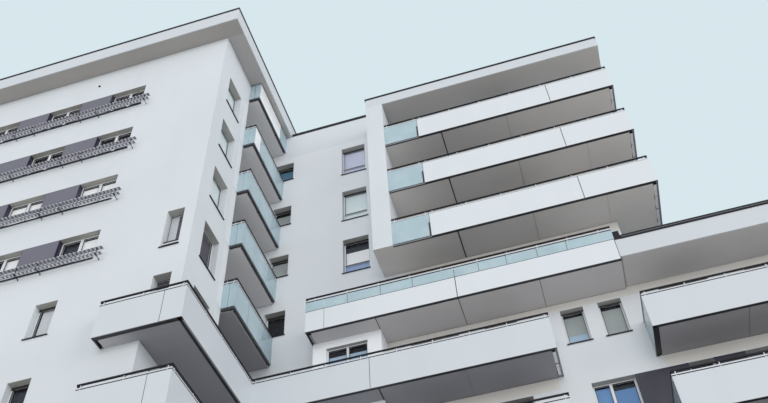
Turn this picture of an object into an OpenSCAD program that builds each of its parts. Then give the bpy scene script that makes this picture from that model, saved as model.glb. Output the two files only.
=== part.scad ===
// Apartment block: an eleven storey tower and main block with a lower wing.
// The front looks along -Y, and X = 0, Y = 0 is the front right corner of the tower
// before the whole building is centred on its base.

/* [Storeys] */
// Height from one floor to the next
storey_h = 2900; // [2800:10:3050]
// Storeys of the tower and of the main block
storeys = 11; // [10:1:12]
// Storeys of the lower wing, whose roof is the terrace level
wing_storeys = 7; // [6:1:8]
// Thickness of the ground slab, which lifts the lowest floor above the ground
base_h = 150; // [100:10:300]
// Thickness of a floor slab
slab_t = 220; // [180:10:300]

/* [Plan] */
// Width of the tower's front
tower_w = 13860; // [13000:10:15000]
// How far the tower stands in front of the main front wall
tower_step = 5600; // [5200:10:6200]
// Depth of the main block behind its front wall
block_d = 11400; // [9000:10:13000]
// Width of the upper main block, from the tower's side to its right end
main_w = 12950; // [12400:10:13300]
// Width of the lower wing beyond the upper main block
wing_w = 7450; // [7000:10:8200]
// Thickness of an outer wall
wall_t = 350; // [250:10:420]
// How far the tower's corner is cut back below the top storey of the wing
corner_cut = 960; // [600:10:1200]
// Distance from the tower's front to its side loggia
loggia_y = 2500; // [2350:10:2800]
// Depth of the side loggia
loggia_d = 1300; // [1000:10:1500]

/* [Roofs] */
// Height of the tower's wall above its roof slab, up to the cornice
tower_top_h = 1380; // [1250:10:1600]
// How far the cornice stands out of the tower's walls
cornice_out = 720; // [400:10:900]
// Height of the cornice's face
cornice_h = 790; // [600:10:1100]
// Thickness of the cornice's deck
cornice_deck = 220; // [150:10:300]
// Thickness of every parapet and upstand
parapet_t = 250; // [150:10:300]
// Clearance between the main block's parapet and the cornice over it
cornice_gap = 20; // [10:5:100]
// Thickness of the metal coping on the cornice and on the canopy
coping_t = 85; // [40:5:120]
// Thickness of the deeper metal coping on the main parapet and on the wing's eaves
deep_coping_t = 150; // [60:5:180]
// How far a coping stands proud of the wall under it
coping_out = 30; // [10:5:60]
// Height of the canopy over the upper balconies
canopy_h = 570; // [400:10:700]
// How far the canopy's underside lies below the roof level
canopy_drop = 140; // [60:10:200]
// How far the canopy reaches past the upper balconies' end
canopy_over = 110; // [0:10:200]

/* [Balconies] */
// How far the long balconies stand out of the main front wall
front_out = 1420; // [1200:10:1600]
// Thickness of a balcony slab
balcony_t = 170; // [140:5:210]
// Height of the handrail's top above the floor
rail_top = 1170; // [1080:10:1200]
// Height of the handrail's own section
rail_h = 40; // [30:1:50]
// Width of the handrail's own section
rail_w = 46; // [40:1:80]
// Height of a balcony panel's top above the floor
panel_top = 970; // [850:10:980]
// Thickness of a balcony panel
panel_t = 12; // [8:1:20]
// Joint between two panels or panes
joint = 16; // [8:1:30]
// Gap between a panel's back and the slab edge
panel_gap = 80; // [70:5:120]
// Gap between an end panel's back and the slab edge
end_gap = 158; // [120:2:200]
// Greatest distance between two railing posts
post_pitch = 1300; // [900:10:1600]
// Width of a railing post
post_w = 12; // [8:1:20]
// Depth of a railing post
post_d = 50; // [40:1:60]
// Height of the rail along a panel's foot
foot_rail_h = 40; // [20:1:60]

/* [Corner balconies] */
// How far the corner balcony stands out of the tower's side
corner_side = 540; // [450:10:700]
// How far the corner balcony stands out of the tower's front
corner_front = 520; // [450:10:700]
// Distance from the tower's corner to the corner balcony's left end
corner_left = 2140; // [1900:10:2600]
// Gap between a panel's back and the slab edge where the balcony runs round the tower's corner
corner_gap = 120; // [70:5:150]
// Distance from the tower's side to the long balcony's right end
corner_right = 9910; // [9300:10:10050]
// Joint of the front panel, from the tower's corner
corner_joint = 130; // [0:10:400]
// Joint of the long panel, from the tower's side
long_joint = 4350; // [3800:10:6000]
// Left side of the bays on the long balcony
bay_x = 2270; // [2000:10:2400]
// Width of a bay
bay_w = 2330; // [2200:10:2500]
// How far a bay stands out of the main front wall
bay_out = 750; // [500:10:900]
// Thickness of a bay's walls
bay_t = 200; // [120:10:250]
// Width of a bay's window
bay_window_w = 1400; // [1000:10:1500]

/* [Glass balconies] */
// How far the glass balconies stand out of the tower's side
glass_out = 480; // [400:10:650]
// How far the glass reaches below a balcony's floor
glass_below = 80; // [40:5:120]
// Clearance between the highest glass balcony's rail and the cornice over it
top_gap = 10; // [5:1:100]
// Height of the highest glass balcony's handrail above its floor
high_rail = 1020; // [1020:10:1100]

/* [Upper balconies] */
// Left side of the pier beside the upper balconies
pier_x = 4650; // [4500:10:4700]
// Width of that pier
pier_w = 720; // [500:10:800]
// How far the upper balconies reach past the main block's right end
side_out = 1510; // [1200:10:1600]
// How far the upper balconies run back along that end
side_run = 3400; // [3000:10:4200]
// Width of the glass panel beside the pier
upper_glass_w = 1380; // [1000:10:1500]
// Second joint of the upper panels, from the tower's side
upper_joint = 12040; // [10500:10:12300]

/* [Terrace and wing] */
// Left end of the terrace
terrace_x = 2230; // [2000:10:2250]
// Right end of the terrace, where the wing's eaves begin
terrace_end = 12470; // [12350:10:12500]
// Thickness of the terrace slab
terrace_t = 300; // [250:10:340]
// Thickness of the eaves slab
eaves_t = 230; // [200:10:340]
// Height of the terrace boards above the terrace floor
upstand_h = 550; // [400:10:650]
// Height of the eaves' upstand above the terrace floor
eaves_h = 500; // [400:10:550]
// Thickness of the eaves' upstand
upstand_t = 200; // [150:10:250]
// First joint of the terrace boards, from the tower's side
terrace_joint_a = 2880; // [2700:10:3200]
// Second joint of the terrace boards, from the tower's side
terrace_joint_b = 7320; // [6500:10:8000]
// Distance from a joint of the boards to the next terrace post
terrace_post_in = 810; // [300:10:900]
// Distance from the last terrace post to the next joint of the boards
terrace_post_end = 400; // [200:10:500]
// Greatest distance between two terrace posts
terrace_pitch = 1100; // [800:10:1400]
// Height of the metal box at the end of the terrace
end_box_h = 380; // [200:10:450]
// Left end of the wing's balconies
wing_balcony_x = 12620; // [12560:10:12700]
// Width of the wing's balconies
wing_balcony_w = 5980; // [5600:10:6200]
// Joint of the wing balconies' panels, from their left end
wing_joint = 4400; // [2400:10:5000]

/* [Windows and doors of the main front] */
// Distance from the tower's side to the narrow windows
narrow_x = 100; // [50:10:300]
// Width of the narrow windows
narrow_w = 800; // [600:10:1000]
// Distance from the tower's side to the tall windows beside the pier
tall_x = 3100; // [2600:10:3400]
// Width of the tall windows
tall_w = 1030; // [800:10:1200]
// Height of the sill of the tall windows beside the pier
low_sill = 500; // [420:10:600]
// Distance from the tower's side to the first door of an upper balcony
upper_door_x = 5900; // [5600:10:6300]
// Distance between the two doors of an upper balcony
upper_door_pitch = 3300; // [2400:10:4600]
// Width of a door of an upper balcony
upper_door_w = 1600; // [900:10:2000]
// Distance from the tower's side to the long balcony's door
balcony_door_x = 5400; // [5100:10:5600]
// Width of the long balcony's door
balcony_door_w = 1600; // [900:10:2000]
// Distance from the tower's side to the long balcony's window
balcony_window_x = 7850; // [7700:10:8300]
// Width of the long balcony's window
balcony_window_w = 1050; // [800:10:1400]
// Distance from the tower's side to the first of the paired windows
pair_x = 10280; // [10000:10:10400]
// Distance from one paired window to the next
pair_pitch = 1190; // [900:10:1300]
// Width of a paired window
pair_w = 725; // [500:5:850]
// Distance from a wing balcony's left end to its first door
wing_door_in = 770; // [500:10:1000]
// Distance from one door of the wing's highest balcony to the next
wing_door_pitch = 2610; // [2000:10:2900]
// Width of a door of the wing's highest balcony
wing_door_w = 1510; // [900:10:1800]
// Distance from the wing balcony's right end to the last window
wing_last_in = 400; // [200:10:500]
// Distance from the tower's side to the first window of the wing's lower bands
band_x = 10610; // [10300:10:10900]
// Width of that first window
band_w = 1250; // [900:10:1400]
// Width of the slender windows of a band
band_slender_w = 710; // [500:10:900]
// Distance from a wing balcony's left end to the broad window of a band
band_broad_in = 2350; // [2000:10:2700]
// Width of the broad window of a band
band_broad_w = 1430; // [1000:10:1800]
// Distance from a wing balcony's left end to the last window of a band
band_last_in = 4680; // [4600:10:5000]

/* [Windows] */
// Height of every window head and door head above the floor
head_h = 2300; // [2200:10:2450]
// Height of the sill of a ribbon window or small front window
ribbon_sill = 930; // [800:10:1000]
// Height of the sill of a tall window
tall_sill = 600; // [500:10:700]
// Height of the sill of the narrow windows beside the tower
narrow_sill = 1130; // [1000:10:1200]
// Distance from the tower's corner to the first ribbon window
ribbon_x = 3350; // [3000:10:3600]
// Width of a ribbon window
ribbon_w = 1500; // [1200:10:1700]
// Distance from one ribbon window to the next
ribbon_pitch = 2830; // [2600:10:3000]
// Number of windows in a ribbon
ribbon_count = 3; // [2:1:3]
// Thickness of the panels between ribbon windows
infill_t = 25; // [12:1:40]
// Width of a small front window
small_w = 750; // [600:10:900]
// Width of the narrow front window at the tower's corner
slim_w = 600; // [450:10:700]
// Distance from the tower's corner to the narrow front window
slim_x = 380; // [380:10:450]
// Distance from the tower's front to the first side window
side_window_y = 720; // [600:10:800]
// Width of a side window
side_window_w = 1100; // [900:10:1200]
// Distance between two side windows on the left and right walls
side_pitch = 3600; // [3000:10:4200]
// Width of the door of a loggia
loggia_door_w = 1400; // [900:10:1800]
// Distance from the main front wall to the door on the right wall
right_door_in = 1000; // [600:10:1400]
// Width of the door on the right wall
right_door_w = 1500; // [900:10:1800]
// Plain wall left beside the last window of a long row
row_margin = 700; // [500:10:1000]
// Width of a back window
back_window_w = 1500; // [1200:10:1800]
// Distance between two back windows
back_pitch = 3900; // [3400:10:4500]
// Distance from the tower's left end to the first back window
back_margin = 1600; // [1200:10:2200]
// Thickness of a metal sill
sill_t = 15; // [8:1:25]
// How far a metal sill stands out of the wall
sill_out = 40; // [20:5:80]
// How far a metal sill reaches into its opening
sill_in = 120; // [60:5:160]
// How far a metal sill runs past each side of its opening
sill_ear = 40; // [20:5:60]
// Thickness of the glazing behind the openings
glazing_t = 24; // [16:1:40]

/* [Window guards] */
// Height of the lower blade above the floor
guard_low = 820; // [760:10:860]
// Distance between the two blades
guard_step = 240; // [180:10:300]
// Depth of a blade
blade_d = 150; // [100:5:220]
// Thickness of a blade
blade_t = 30; // [20:1:50]
// Gap between the wall and a blade
blade_gap = 150; // [80:5:200]
// Width of a blade's edge bars
blade_edge = 18; // [12:1:30]
// Distance between two slats
slat_pitch = 125; // [100:5:180]
// Width of a slat
slat_w = 55; // [30:1:80]
// Distance from a window's side to the guard's arm
arm_side = 270; // [200:10:320]
// Thickness of a guard's arm
arm_t = 14; // [10:1:25]
// Height of a guard's arm
arm_h = 45; // [30:1:60]
// How far a guard runs past its last arm
guard_end = 200; // [100:10:250]

/* [Entrance] */
// Left side of the entrance
entrance_x = 5600; // [5500:10:5700]
// Width of the entrance
entrance_w = 1800; // [1400:10:2000]
// Width of the entrance door's frame members
door_frame = 90; // [60:5:120]
// Depth of the entrance door's frame
door_d = 80; // [50:5:120]

/* [Hidden] */

// Levels
room_h = storey_h - slab_t;
function floor_z(k) = base_h + k * storey_h;
roof_z = floor_z(storeys);
terrace_z = floor_z(wing_storeys);
last_low = wing_storeys - 1;
cornice_z = roof_z + tower_top_h;
main_parapet_h = tower_top_h - cornice_gap;

// Plan lines
back_y = tower_step + block_d;
wing_end = main_w + wing_w;
balcony_y = tower_step - front_out;
upper_end = main_w + side_out;
side_back_y = tower_step + side_run;
edge_in = panel_t + panel_gap;
end_in = panel_t + end_gap;
cut_over = 1;
gap = 3;
end_post = 120;

// Centre of the whole building, so that its base is centred on the origin
low_x = -tower_w - cornice_out - coping_out;
low_y = -cornice_out - coping_out;
high_y = back_y + cornice_out + coping_out;
mid_x = (low_x + wing_end + coping_out) / 2;
mid_y = (low_y + high_y) / 2;

// Colours
render_white = [0.86, 0.88, 0.91];
render_grey = [0.55, 0.54, 0.53];
panel_white = [0.93, 0.94, 0.96];
metal_dark = [0.12, 0.12, 0.14];
glass_blue = [0.70, 0.82, 0.85, 0.6];
infill_mauve = [0.42, 0.40, 0.46];
blade_grey = [0.45, 0.45, 0.50];

module centred() {
    translate([-mid_x, -mid_y, 0]) children();
}

module block(x, y, z) {
    translate([x[0], y[0], z[0]]) cube([x[1] - x[0], y[1] - y[0], z[1] - z[0]]);
}

// Openings of a wall are lists of [start, end, foot, head] along the wall and above the floor.
function window(start, width, sill) = [start, start + width, sill, head_h];

// Ribbon windows and their infill panels, counted from the tower's corner to the left
function ribbon_start(i) = -ribbon_x - ribbon_w - i * ribbon_pitch;
ribbon_windows = [for (i = [0:ribbon_count - 1]) window(ribbon_start(i), ribbon_w, ribbon_sill)];
ribbon_infill = [for (i = [0:ribbon_count - 2])
    [ribbon_start(i + 1) + ribbon_w, ribbon_start(i), ribbon_sill, head_h]];

// Small windows of the tower's lower storeys, lined up with the ribbon above
small_windows = [for (i = [0:ribbon_count - 1]) window(ribbon_start(i), small_w, ribbon_sill)];
slim_window = [window(-slim_x - slim_w, slim_w, tall_sill)];
function tower_front_openings(k) = concat(
    k >= wing_storeys ? ribbon_windows : small_windows,
    (k == last_low || k == wing_storeys) ? slim_window : []);

// Openings of the tower's side and of the walls that run back
side_windows = [window(side_window_y, side_window_w, tall_sill)];
loggia_door_y = (loggia_y + tower_step) / 2;
low_side_door = [window(loggia_door_y - loggia_door_w / 2, loggia_door_w, 0)];
function run_count(from, to, width, pitch) = floor((to - from - width) / pitch);
function window_row(from, to, width, pitch, sill) =
    [for (i = [0:run_count(from, to, width, pitch)]) window(from + i * pitch, width, sill)];
left_windows = window_row(side_window_y, back_y - side_window_y, side_window_w, side_pitch, tall_sill);
right_windows = concat([window(tower_step + right_door_in, right_door_w, 0)],
    window_row(side_back_y + row_margin, back_y - side_window_y, side_window_w, side_pitch, tall_sill));
function back_windows(k) = window_row(back_margin - tower_w,
    (k < wing_storeys ? wing_end : main_w) - row_margin, back_window_w, back_pitch, ribbon_sill);

// Openings of the main front wall, measured from the tower's side
narrow_windows = [window(narrow_x, narrow_w, narrow_sill)];
tall_windows = [window(tall_x, tall_w, low_sill)];
terrace_door = [window(tall_x, tall_w, 0)];
upper_doors = [for (i = [0, 1]) window(upper_door_x + i * upper_door_pitch, upper_door_w, 0)];
bay_opening = [window(bay_x + bay_t, bay_w - 2 * bay_t, 0)];
balcony_door = [window(balcony_door_x, balcony_door_w, 0)];
balcony_window = [window(balcony_window_x, balcony_window_w, tall_sill)];
entrance_opening = [window(entrance_x, entrance_w, 0)];
pair_windows = [for (i = [0, 1]) window(pair_x + i * pair_pitch, pair_w, ribbon_sill)];
wing_top_openings = concat(
    [for (i = [0, 1]) window(wing_balcony_x + wing_door_in + i * wing_door_pitch, wing_door_w, 0)],
    [window(wing_balcony_x + wing_balcony_w + wing_last_in, pair_w, ribbon_sill)]);
band_windows = [window(band_x, band_w, tall_sill),
    window(wing_balcony_x + wing_door_in, band_slender_w, tall_sill),
    window(wing_balcony_x + band_broad_in, band_broad_w, tall_sill),
    window(wing_balcony_x + band_last_in, band_slender_w, tall_sill)];
band_infill = [for (i = [0:len(band_windows) - 2])
    [band_windows[i][1], band_windows[i + 1][0], tall_sill, head_h]];
function main_front_openings(k) =
    k > wing_storeys ? concat(narrow_windows, tall_windows, upper_doors)
    : k == wing_storeys ? concat(narrow_windows, terrace_door, upper_doors)
    : k == last_low ? concat(bay_opening, balcony_door, balcony_window, pair_windows, wing_top_openings)
    : k > 0 ? concat(bay_opening, balcony_door, balcony_window, band_windows)
    : concat([window(bay_x + bay_t, bay_w - 2 * bay_t, tall_sill)], entrance_opening,
        balcony_window, band_windows);

// Walls that run along X and along Y, one solid a storey
module wall_x(x, face_y, k, openings) {
    difference() {
        block(x, [face_y, face_y + wall_t], [floor_z(k), floor_z(k) + room_h]);
        for (o = openings)
            block([o[0], o[1]], [face_y - cut_over, face_y + wall_t + cut_over],
                [floor_z(k) + o[2] - (o[2] == 0 ? cut_over : 0), floor_z(k) + o[3]]);
    }
}

module wall_y(face_x, y, k, openings) {
    difference() {
        block([face_x, face_x + wall_t], y, [floor_z(k), floor_z(k) + room_h]);
        for (o = openings)
            block([face_x - cut_over, face_x + wall_t + cut_over], [o[0], o[1]],
                [floor_z(k) + o[2] - (o[2] == 0 ? cut_over : 0), floor_z(k) + o[3]]);
    }
}

// The shallow recess of an infill panel
module recess(o, face_y, k) {
    block([o[0], o[1]], [face_y - cut_over, face_y + infill_t],
        [floor_z(k) + o[2], floor_z(k) + o[3]]);
}

// Outlines of the floors
cut_corner = [[-corner_cut, 0], [-corner_cut, tower_step]];
full_corner = [[0, 0], [0, loggia_y], [-loggia_d, loggia_y], [-loggia_d, tower_step]];
function floor_outline(k) = concat([[-tower_w, 0]],
    k < wing_storeys ? cut_corner : full_corner,
    [[k <= wing_storeys ? wing_end : main_w, tower_step],
     [k <= wing_storeys ? wing_end : main_w, back_y], [-tower_w, back_y]]);

module slab(outline, top, thickness) {
    translate([0, 0, top - thickness]) linear_extrude(thickness) polygon(outline);
}

module ground_slab() {
    color(render_grey) slab(floor_outline(0), base_h, base_h);
}

module floor_slabs() {
    color(render_white) for (k = [1:storeys - 1]) slab(floor_outline(k), floor_z(k), slab_t);
}

module roof_slabs() {
    color(render_white) slab(floor_outline(storeys), roof_z, slab_t);
}

module tower_front_wall() {
    color(render_white) for (k = [0:storeys - 1])
        difference() {
            wall_x([-tower_w, k < last_low ? -corner_cut : 0], 0, k, tower_front_openings(k));
            if (k >= wing_storeys) for (o = ribbon_infill) recess(o, 0, k);
        }
}

module tower_left_wall() {
    color(render_white) for (k = [0:storeys - 1])
        wall_y(-tower_w, [wall_t, back_y - wall_t], k, left_windows);
}

module tower_side_wall() {
    color(render_white) for (k = [0:storeys - 1])
        if (k < last_low)
            wall_y(-corner_cut - wall_t, [wall_t, tower_step], k, concat(side_windows, low_side_door));
        else
            wall_y(-wall_t, [wall_t, loggia_y - wall_t], k, side_windows);
}

module loggia_walls() {
    color(render_white) for (k = [last_low:storeys - 1]) {
        wall_y(-loggia_d - wall_t, [loggia_y - wall_t, tower_step], k, low_side_door);
        block([-loggia_d - wall_t, 0], [loggia_y - wall_t, loggia_y], [floor_z(k), floor_z(k) + room_h]);
    }
}

module main_front_wall() {
    color(render_white) for (k = [0:storeys - 1])
        difference() {
            wall_x([-wall_t - (k < last_low ? corner_cut : loggia_d), k < wing_storeys ? wing_end : main_w],
                tower_step, k, main_front_openings(k));
            if (k < last_low) for (o = band_infill) recess(o, tower_step, k);
        }
}

module main_right_wall() {
    color(render_white) for (k = [wing_storeys:storeys - 1])
        wall_y(main_w - wall_t, [tower_step + wall_t, back_y - wall_t], k, right_windows);
}

module wing_end_wall() {
    color(render_white) for (k = [0:last_low])
        wall_y(wing_end - wall_t, [tower_step + wall_t, back_y - wall_t], k, []);
}

module back_wall() {
    color(render_white) for (k = [0:storeys - 1])
        wall_x([-tower_w, k < wing_storeys ? wing_end : main_w], back_y - wall_t, k, back_windows(k));
}

// A bay stands on the long balcony and reaches up to the slab above it.
module bay_walls() {
    window_x = bay_x + (bay_w - bay_window_w) / 2;
    color(render_white) for (k = [1:last_low]) {
        top = k == last_low ? terrace_z - terrace_t : floor_z(k + 1) - balcony_t;
        difference() {
            block([bay_x, bay_x + bay_w], [tower_step - bay_out, tower_step], [floor_z(k), top]);
            block([bay_x + bay_t, bay_x + bay_w - bay_t],
                [tower_step - bay_out + bay_t, tower_step + cut_over],
                [floor_z(k) - cut_over, top + cut_over]);
            block([window_x, window_x + bay_window_w],
                [tower_step - bay_out - cut_over, tower_step - bay_out + bay_t + cut_over],
                [floor_z(k) + ribbon_sill, floor_z(k) + head_h]);
        }
    }
}

// Roofs and parapets
function tower_ring(t) = [[-tower_w + t, t], [-t, t], [-t, loggia_y - t], [-loggia_d - t, loggia_y - t],
    [-loggia_d - t, tower_step + t], [-t, tower_step + t], [-t, back_y - t], [-tower_w + t, back_y - t]];

module tower_parapet() {
    color(render_white) difference() {
        slab(tower_ring(0), cornice_z, tower_top_h);
        translate([0, 0, cut_over]) slab(tower_ring(wall_t), cornice_z, tower_top_h + 2 * cut_over);
    }
}

module tower_cornice() {
    x = [-tower_w - cornice_out, cornice_out];
    y = [-cornice_out, back_y + cornice_out];
    color(render_white) difference() {
        block(x, y, [cornice_z, cornice_z + cornice_h]);
        block([x[0] + parapet_t, x[1] - parapet_t], [y[0] + parapet_t, y[1] - parapet_t],
            [cornice_z + cornice_deck, cornice_z + cornice_h + cut_over]);
    }
}

// The open side of a U-shaped parapet faces the taller wall that it joins.
function u_outline(x, y, t) = [[x[0], y[0]], [x[1], y[0]], [x[1], y[1]], [x[0], y[1]],
    [x[0], y[1] - t], [x[1] - t, y[1] - t], [x[1] - t, y[0] + t], [x[0], y[0] + t]];

module main_parapet() {
    outline = u_outline([0, main_w], [tower_step, back_y], parapet_t);
    color(render_white) slab(outline, roof_z + main_parapet_h, main_parapet_h);
}

module wing_parapet() {
    color(render_white) difference() {
        block([main_w, wing_end], [tower_step, back_y], [terrace_z, terrace_z + eaves_h]);
        block([main_w - cut_over, wing_end - parapet_t], [tower_step - cut_over, back_y - parapet_t],
            [terrace_z - cut_over, terrace_z + eaves_h + cut_over]);
    }
}

module coping_ring(x, y, t, z) {
    o = coping_out;
    difference() {
        block([x[0] - o, x[1] + o], [y[0] - o, y[1] + o], [z, z + coping_t]);
        block([x[0] + t + o, x[1] - t - o], [y[0] + t + o, y[1] - t - o],
            [z - cut_over, z + coping_t + cut_over]);
    }
}

module roof_copings() {
    o = coping_out;
    color(metal_dark) {
        coping_ring([-tower_w - cornice_out, cornice_out], [-cornice_out, back_y + cornice_out],
            parapet_t, cornice_z + cornice_h);
        slab(u_outline([cornice_out + coping_out + gap, main_w + o], [tower_step - o, back_y + o],
            parapet_t + 2 * o), roof_z + main_parapet_h + deep_coping_t, deep_coping_t);
        slab([[pier_x - o, balcony_y - o], [upper_end + canopy_over + o, balcony_y - o],
            [upper_end + canopy_over + o, side_back_y + o],
            [upper_end + canopy_over - parapet_t, side_back_y + o],
            [upper_end + canopy_over - parapet_t, balcony_y + parapet_t],
            [pier_x - o, balcony_y + parapet_t]], canopy_top + coping_t, coping_t);
        slab([[terrace_end + upstand_t, balcony_y - o], [wing_end + o, balcony_y - o],
            [wing_end + o, back_y + o], [main_w + gap, back_y + o],
            [main_w + gap, back_y - parapet_t - o], [wing_end - parapet_t - o, back_y - parapet_t - o],
            [wing_end - parapet_t - o, balcony_y + upstand_t + o],
            [terrace_end + upstand_t, balcony_y + upstand_t + o]],
            terrace_z + eaves_h + deep_coping_t, deep_coping_t);
    }
}

canopy_foot = roof_z - canopy_drop;
canopy_top = canopy_foot + canopy_h;

module canopy_slab() {
    color(render_white) slab([[pier_x, balcony_y], [upper_end + canopy_over, balcony_y],
        [upper_end + canopy_over, side_back_y], [main_w, side_back_y], [main_w, tower_step],
        [pier_x, tower_step]], canopy_top, canopy_h);
}

first_upper = wing_storeys + 1;

module balcony_pier() {
    color(render_white) block([pier_x, pier_x + pier_w], [balcony_y, tower_step],
        [floor_z(first_upper) - balcony_t, canopy_foot]);
}

// A run is [turn, x, y, length, gap to the slab] of a stretch of railing. It is drawn along +X
// with its outer face on Y = 0 and the floor at Z = 0, and is then turned and moved.
run_start = rail_w + panel_t + gap;
foot_in = panel_t + gap;

module place(turn, x, y, z) {
    translate([x, y, z]) rotate([0, 0, turn]) children();
}

function spread(from, to, pitch) = [for (i = [0:ceil((to - from) / pitch)])
    from + i * (to - from) / ceil((to - from) / pitch)];
function post_places(length) = spread(end_post, length - end_post, post_pitch);

module railing(length, posts, depth, foot_h, top = rail_top) {
    translate([0, 0, top - rail_h]) cube([length, rail_w, rail_h]);
    translate([foot_in, panel_t, -depth]) cube([length - 2 * foot_in, post_d, foot_h]);
    for (x = posts) translate([x - post_w / 2, panel_t, -depth])
        cube([post_w, post_d, depth + top - rail_h]);
}

module railings(runs, z, foot_h = foot_rail_h, top = rail_top) {
    for (run = runs) place(run[0], run[1], run[2], z)
        railing(run[3], post_places(run[3]), balcony_t, foot_h, top);
}

module post_brackets(posts, gap_behind, depth) {
    for (x = posts) translate([x - post_w / 2, panel_t + post_d, -depth])
        cube([post_w, gap_behind - post_d, depth]);
}

module brackets(runs, z) {
    for (run = runs) place(run[0], run[1], run[2], z)
        post_brackets(post_places(run[3]), run[4], balcony_t);
}

module boards(from, to, joints, foot, top) {
    edges = concat([from - joint / 2], joints, [to + joint / 2]);
    for (i = [0:len(edges) - 2])
        translate([edges[i] + joint / 2, 0, foot])
            cube([edges[i + 1] - edges[i] - joint, panel_t, top - foot]);
}

module panels(from, to, joints, below) {
    boards(from, to, joints, -below, panel_top);
}

// Upper balconies, which wrap round the right end of the main block
upper_x = pier_x + pier_w;
upper_levels = [for (k = [first_upper:storeys - 1]) floor_z(k)];
upper_runs = [[0, upper_x + gap, balcony_y, upper_end - upper_x - gap, panel_gap],
    [90, upper_end, balcony_y + run_start, side_back_y - balcony_y - run_start, end_gap]];

module upper_balcony_slabs() {
    color(render_grey) for (z = upper_levels)
        slab([[upper_x, balcony_y + edge_in], [upper_end - end_in, balcony_y + edge_in],
            [upper_end - end_in, side_back_y], [main_w, side_back_y], [main_w, tower_step],
            [upper_x, tower_step]], z, balcony_t);
}

module upper_balcony_panels() {
    start = panel_t + gap;
    color(panel_white) for (z = upper_levels) {
        place(0, 0, balcony_y, z)
            panels(upper_x + upper_glass_w + joint, upper_end, [upper_joint], balcony_t);
        place(90, upper_end, balcony_y + start, z)
            panels(0, side_back_y - balcony_y - start, [], balcony_t);
    }
}

module upper_balcony_glass() {
    color(glass_blue) for (z = upper_levels)
        place(0, 0, balcony_y, z) panels(upper_x + gap, upper_x + upper_glass_w, [], balcony_t);
}

module upper_balcony_railings() {
    color(metal_dark) for (z = upper_levels) railings(upper_runs, z);
}

// Terrace on the wing's roof level: boards hang on posts before the slab, with glass above them
terrace_w = terrace_end - terrace_x;
terrace_joints = [terrace_joint_a - terrace_x, terrace_joint_b - terrace_x];
terrace_posts = concat([terrace_joints[0] / 2],
    spread(terrace_joints[0] + terrace_post_in, terrace_joints[1] - terrace_post_end, terrace_pitch),
    spread(terrace_joints[1] + terrace_post_in, terrace_w - terrace_post_end, terrace_pitch));
terrace_side_w = front_out - run_start - gap;

module terrace_front() {
    place(0, terrace_x, balcony_y, terrace_z) children();
}

module terrace_side() {
    place(-90, terrace_x, tower_step - gap, terrace_z) children();
}

module terrace_slab() {
    color(render_white) block([terrace_x + end_in, terrace_end], [balcony_y + edge_in, tower_step],
        [terrace_z - terrace_t, terrace_z]);
}

module terrace_sheets(foot, top) {
    terrace_front() boards(0, terrace_w - gap, terrace_joints, foot, top);
    terrace_side() boards(0, front_out - panel_t - 2 * gap, [], foot, top);
}

module terrace_panels() {
    color(panel_white) terrace_sheets(-terrace_t, upstand_h);
}

module terrace_glass() {
    color(glass_blue) terrace_sheets(upstand_h + joint, panel_top);
}

module terrace_railing() {
    color(metal_dark) {
        terrace_front() railing(terrace_w - gap, terrace_posts, terrace_t, foot_rail_h);
        terrace_side() railing(terrace_side_w, post_places(terrace_side_w), terrace_t, foot_rail_h);
    }
}

module wing_eaves() {
    z = [terrace_z, terrace_z + eaves_h];
    color(render_white) {
        block([terrace_end, wing_end], [balcony_y, tower_step], [terrace_z - eaves_t, terrace_z]);
        block([terrace_end, wing_end], [balcony_y, balcony_y + upstand_t], z);
        block([wing_end - parapet_t, wing_end], [balcony_y, tower_step], z);
    }
}

module terrace_end_box() {
    z = terrace_z + eaves_h;
    color(metal_dark) block([terrace_end, terrace_end + upstand_t - gap],
        [balcony_y, balcony_y + upstand_t], [z, z + end_box_h]);
}

// Corner balconies, which run round the tower's corner and along the main front wall
corner_in = panel_t + corner_gap;
corner_outline = [[-corner_left + corner_in, corner_in - corner_front],
    [corner_side - corner_in, corner_in - corner_front],
    [corner_side - corner_in, balcony_y + edge_in], [corner_right - end_in, balcony_y + edge_in],
    [corner_right - end_in, tower_step], [-corner_cut, tower_step], [-corner_cut, 0],
    [-corner_left + corner_in, 0]];

corner_levels = [for (k = [1:last_low]) floor_z(k)];
corner_runs = [[0, -corner_left, -corner_front, corner_left + corner_side, corner_gap],
    [-90, -corner_left, 0, corner_front - run_start, corner_gap],
    [90, corner_side, run_start - corner_front, balcony_y + corner_front - run_start - gap, corner_gap],
    [0, corner_side - rail_w - panel_t, balcony_y, corner_right - corner_side + rail_w + panel_t, panel_gap],
    [90, corner_right, balcony_y + run_start, front_out - run_start, end_gap]];

module corner_balcony_slabs() {
    color(render_grey) for (z = corner_levels) slab(corner_outline, z, balcony_t);
}

module corner_balcony_panels() {
    start = panel_t + gap;
    color(panel_white) for (z = corner_levels) {
        place(0, 0, -corner_front, z) panels(-corner_left, corner_side, [-corner_joint], balcony_t);
        place(-90, -corner_left, -gap, z) panels(0, corner_front - start - gap, [], balcony_t);
        place(90, corner_side, start - corner_front, z)
            panels(0, balcony_y + corner_front - start - gap, [], balcony_t);
        place(0, 0, balcony_y, z) panels(corner_side - panel_t, corner_right, [long_joint], balcony_t);
        place(90, corner_right, balcony_y + start, z) panels(0, front_out - start - gap, [], balcony_t);
    }
}

module corner_balcony_railings() {
    color(metal_dark) for (z = corner_levels) railings(corner_runs, z);
}

// Balconies of the wing, with glass ends
wing_balcony_end = wing_balcony_x + wing_balcony_w;
wing_runs = [[0, wing_balcony_x, balcony_y, wing_balcony_w, panel_gap],
    [-90, wing_balcony_x, tower_step, front_out - run_start, end_gap],
    [90, wing_balcony_end, balcony_y + run_start, front_out - run_start, end_gap]];

module wing_balcony_slabs() {
    color(render_grey) for (z = corner_levels)
        block([wing_balcony_x + end_in, wing_balcony_end - end_in], [balcony_y + edge_in, tower_step],
            [z - balcony_t, z]);
}

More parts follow.
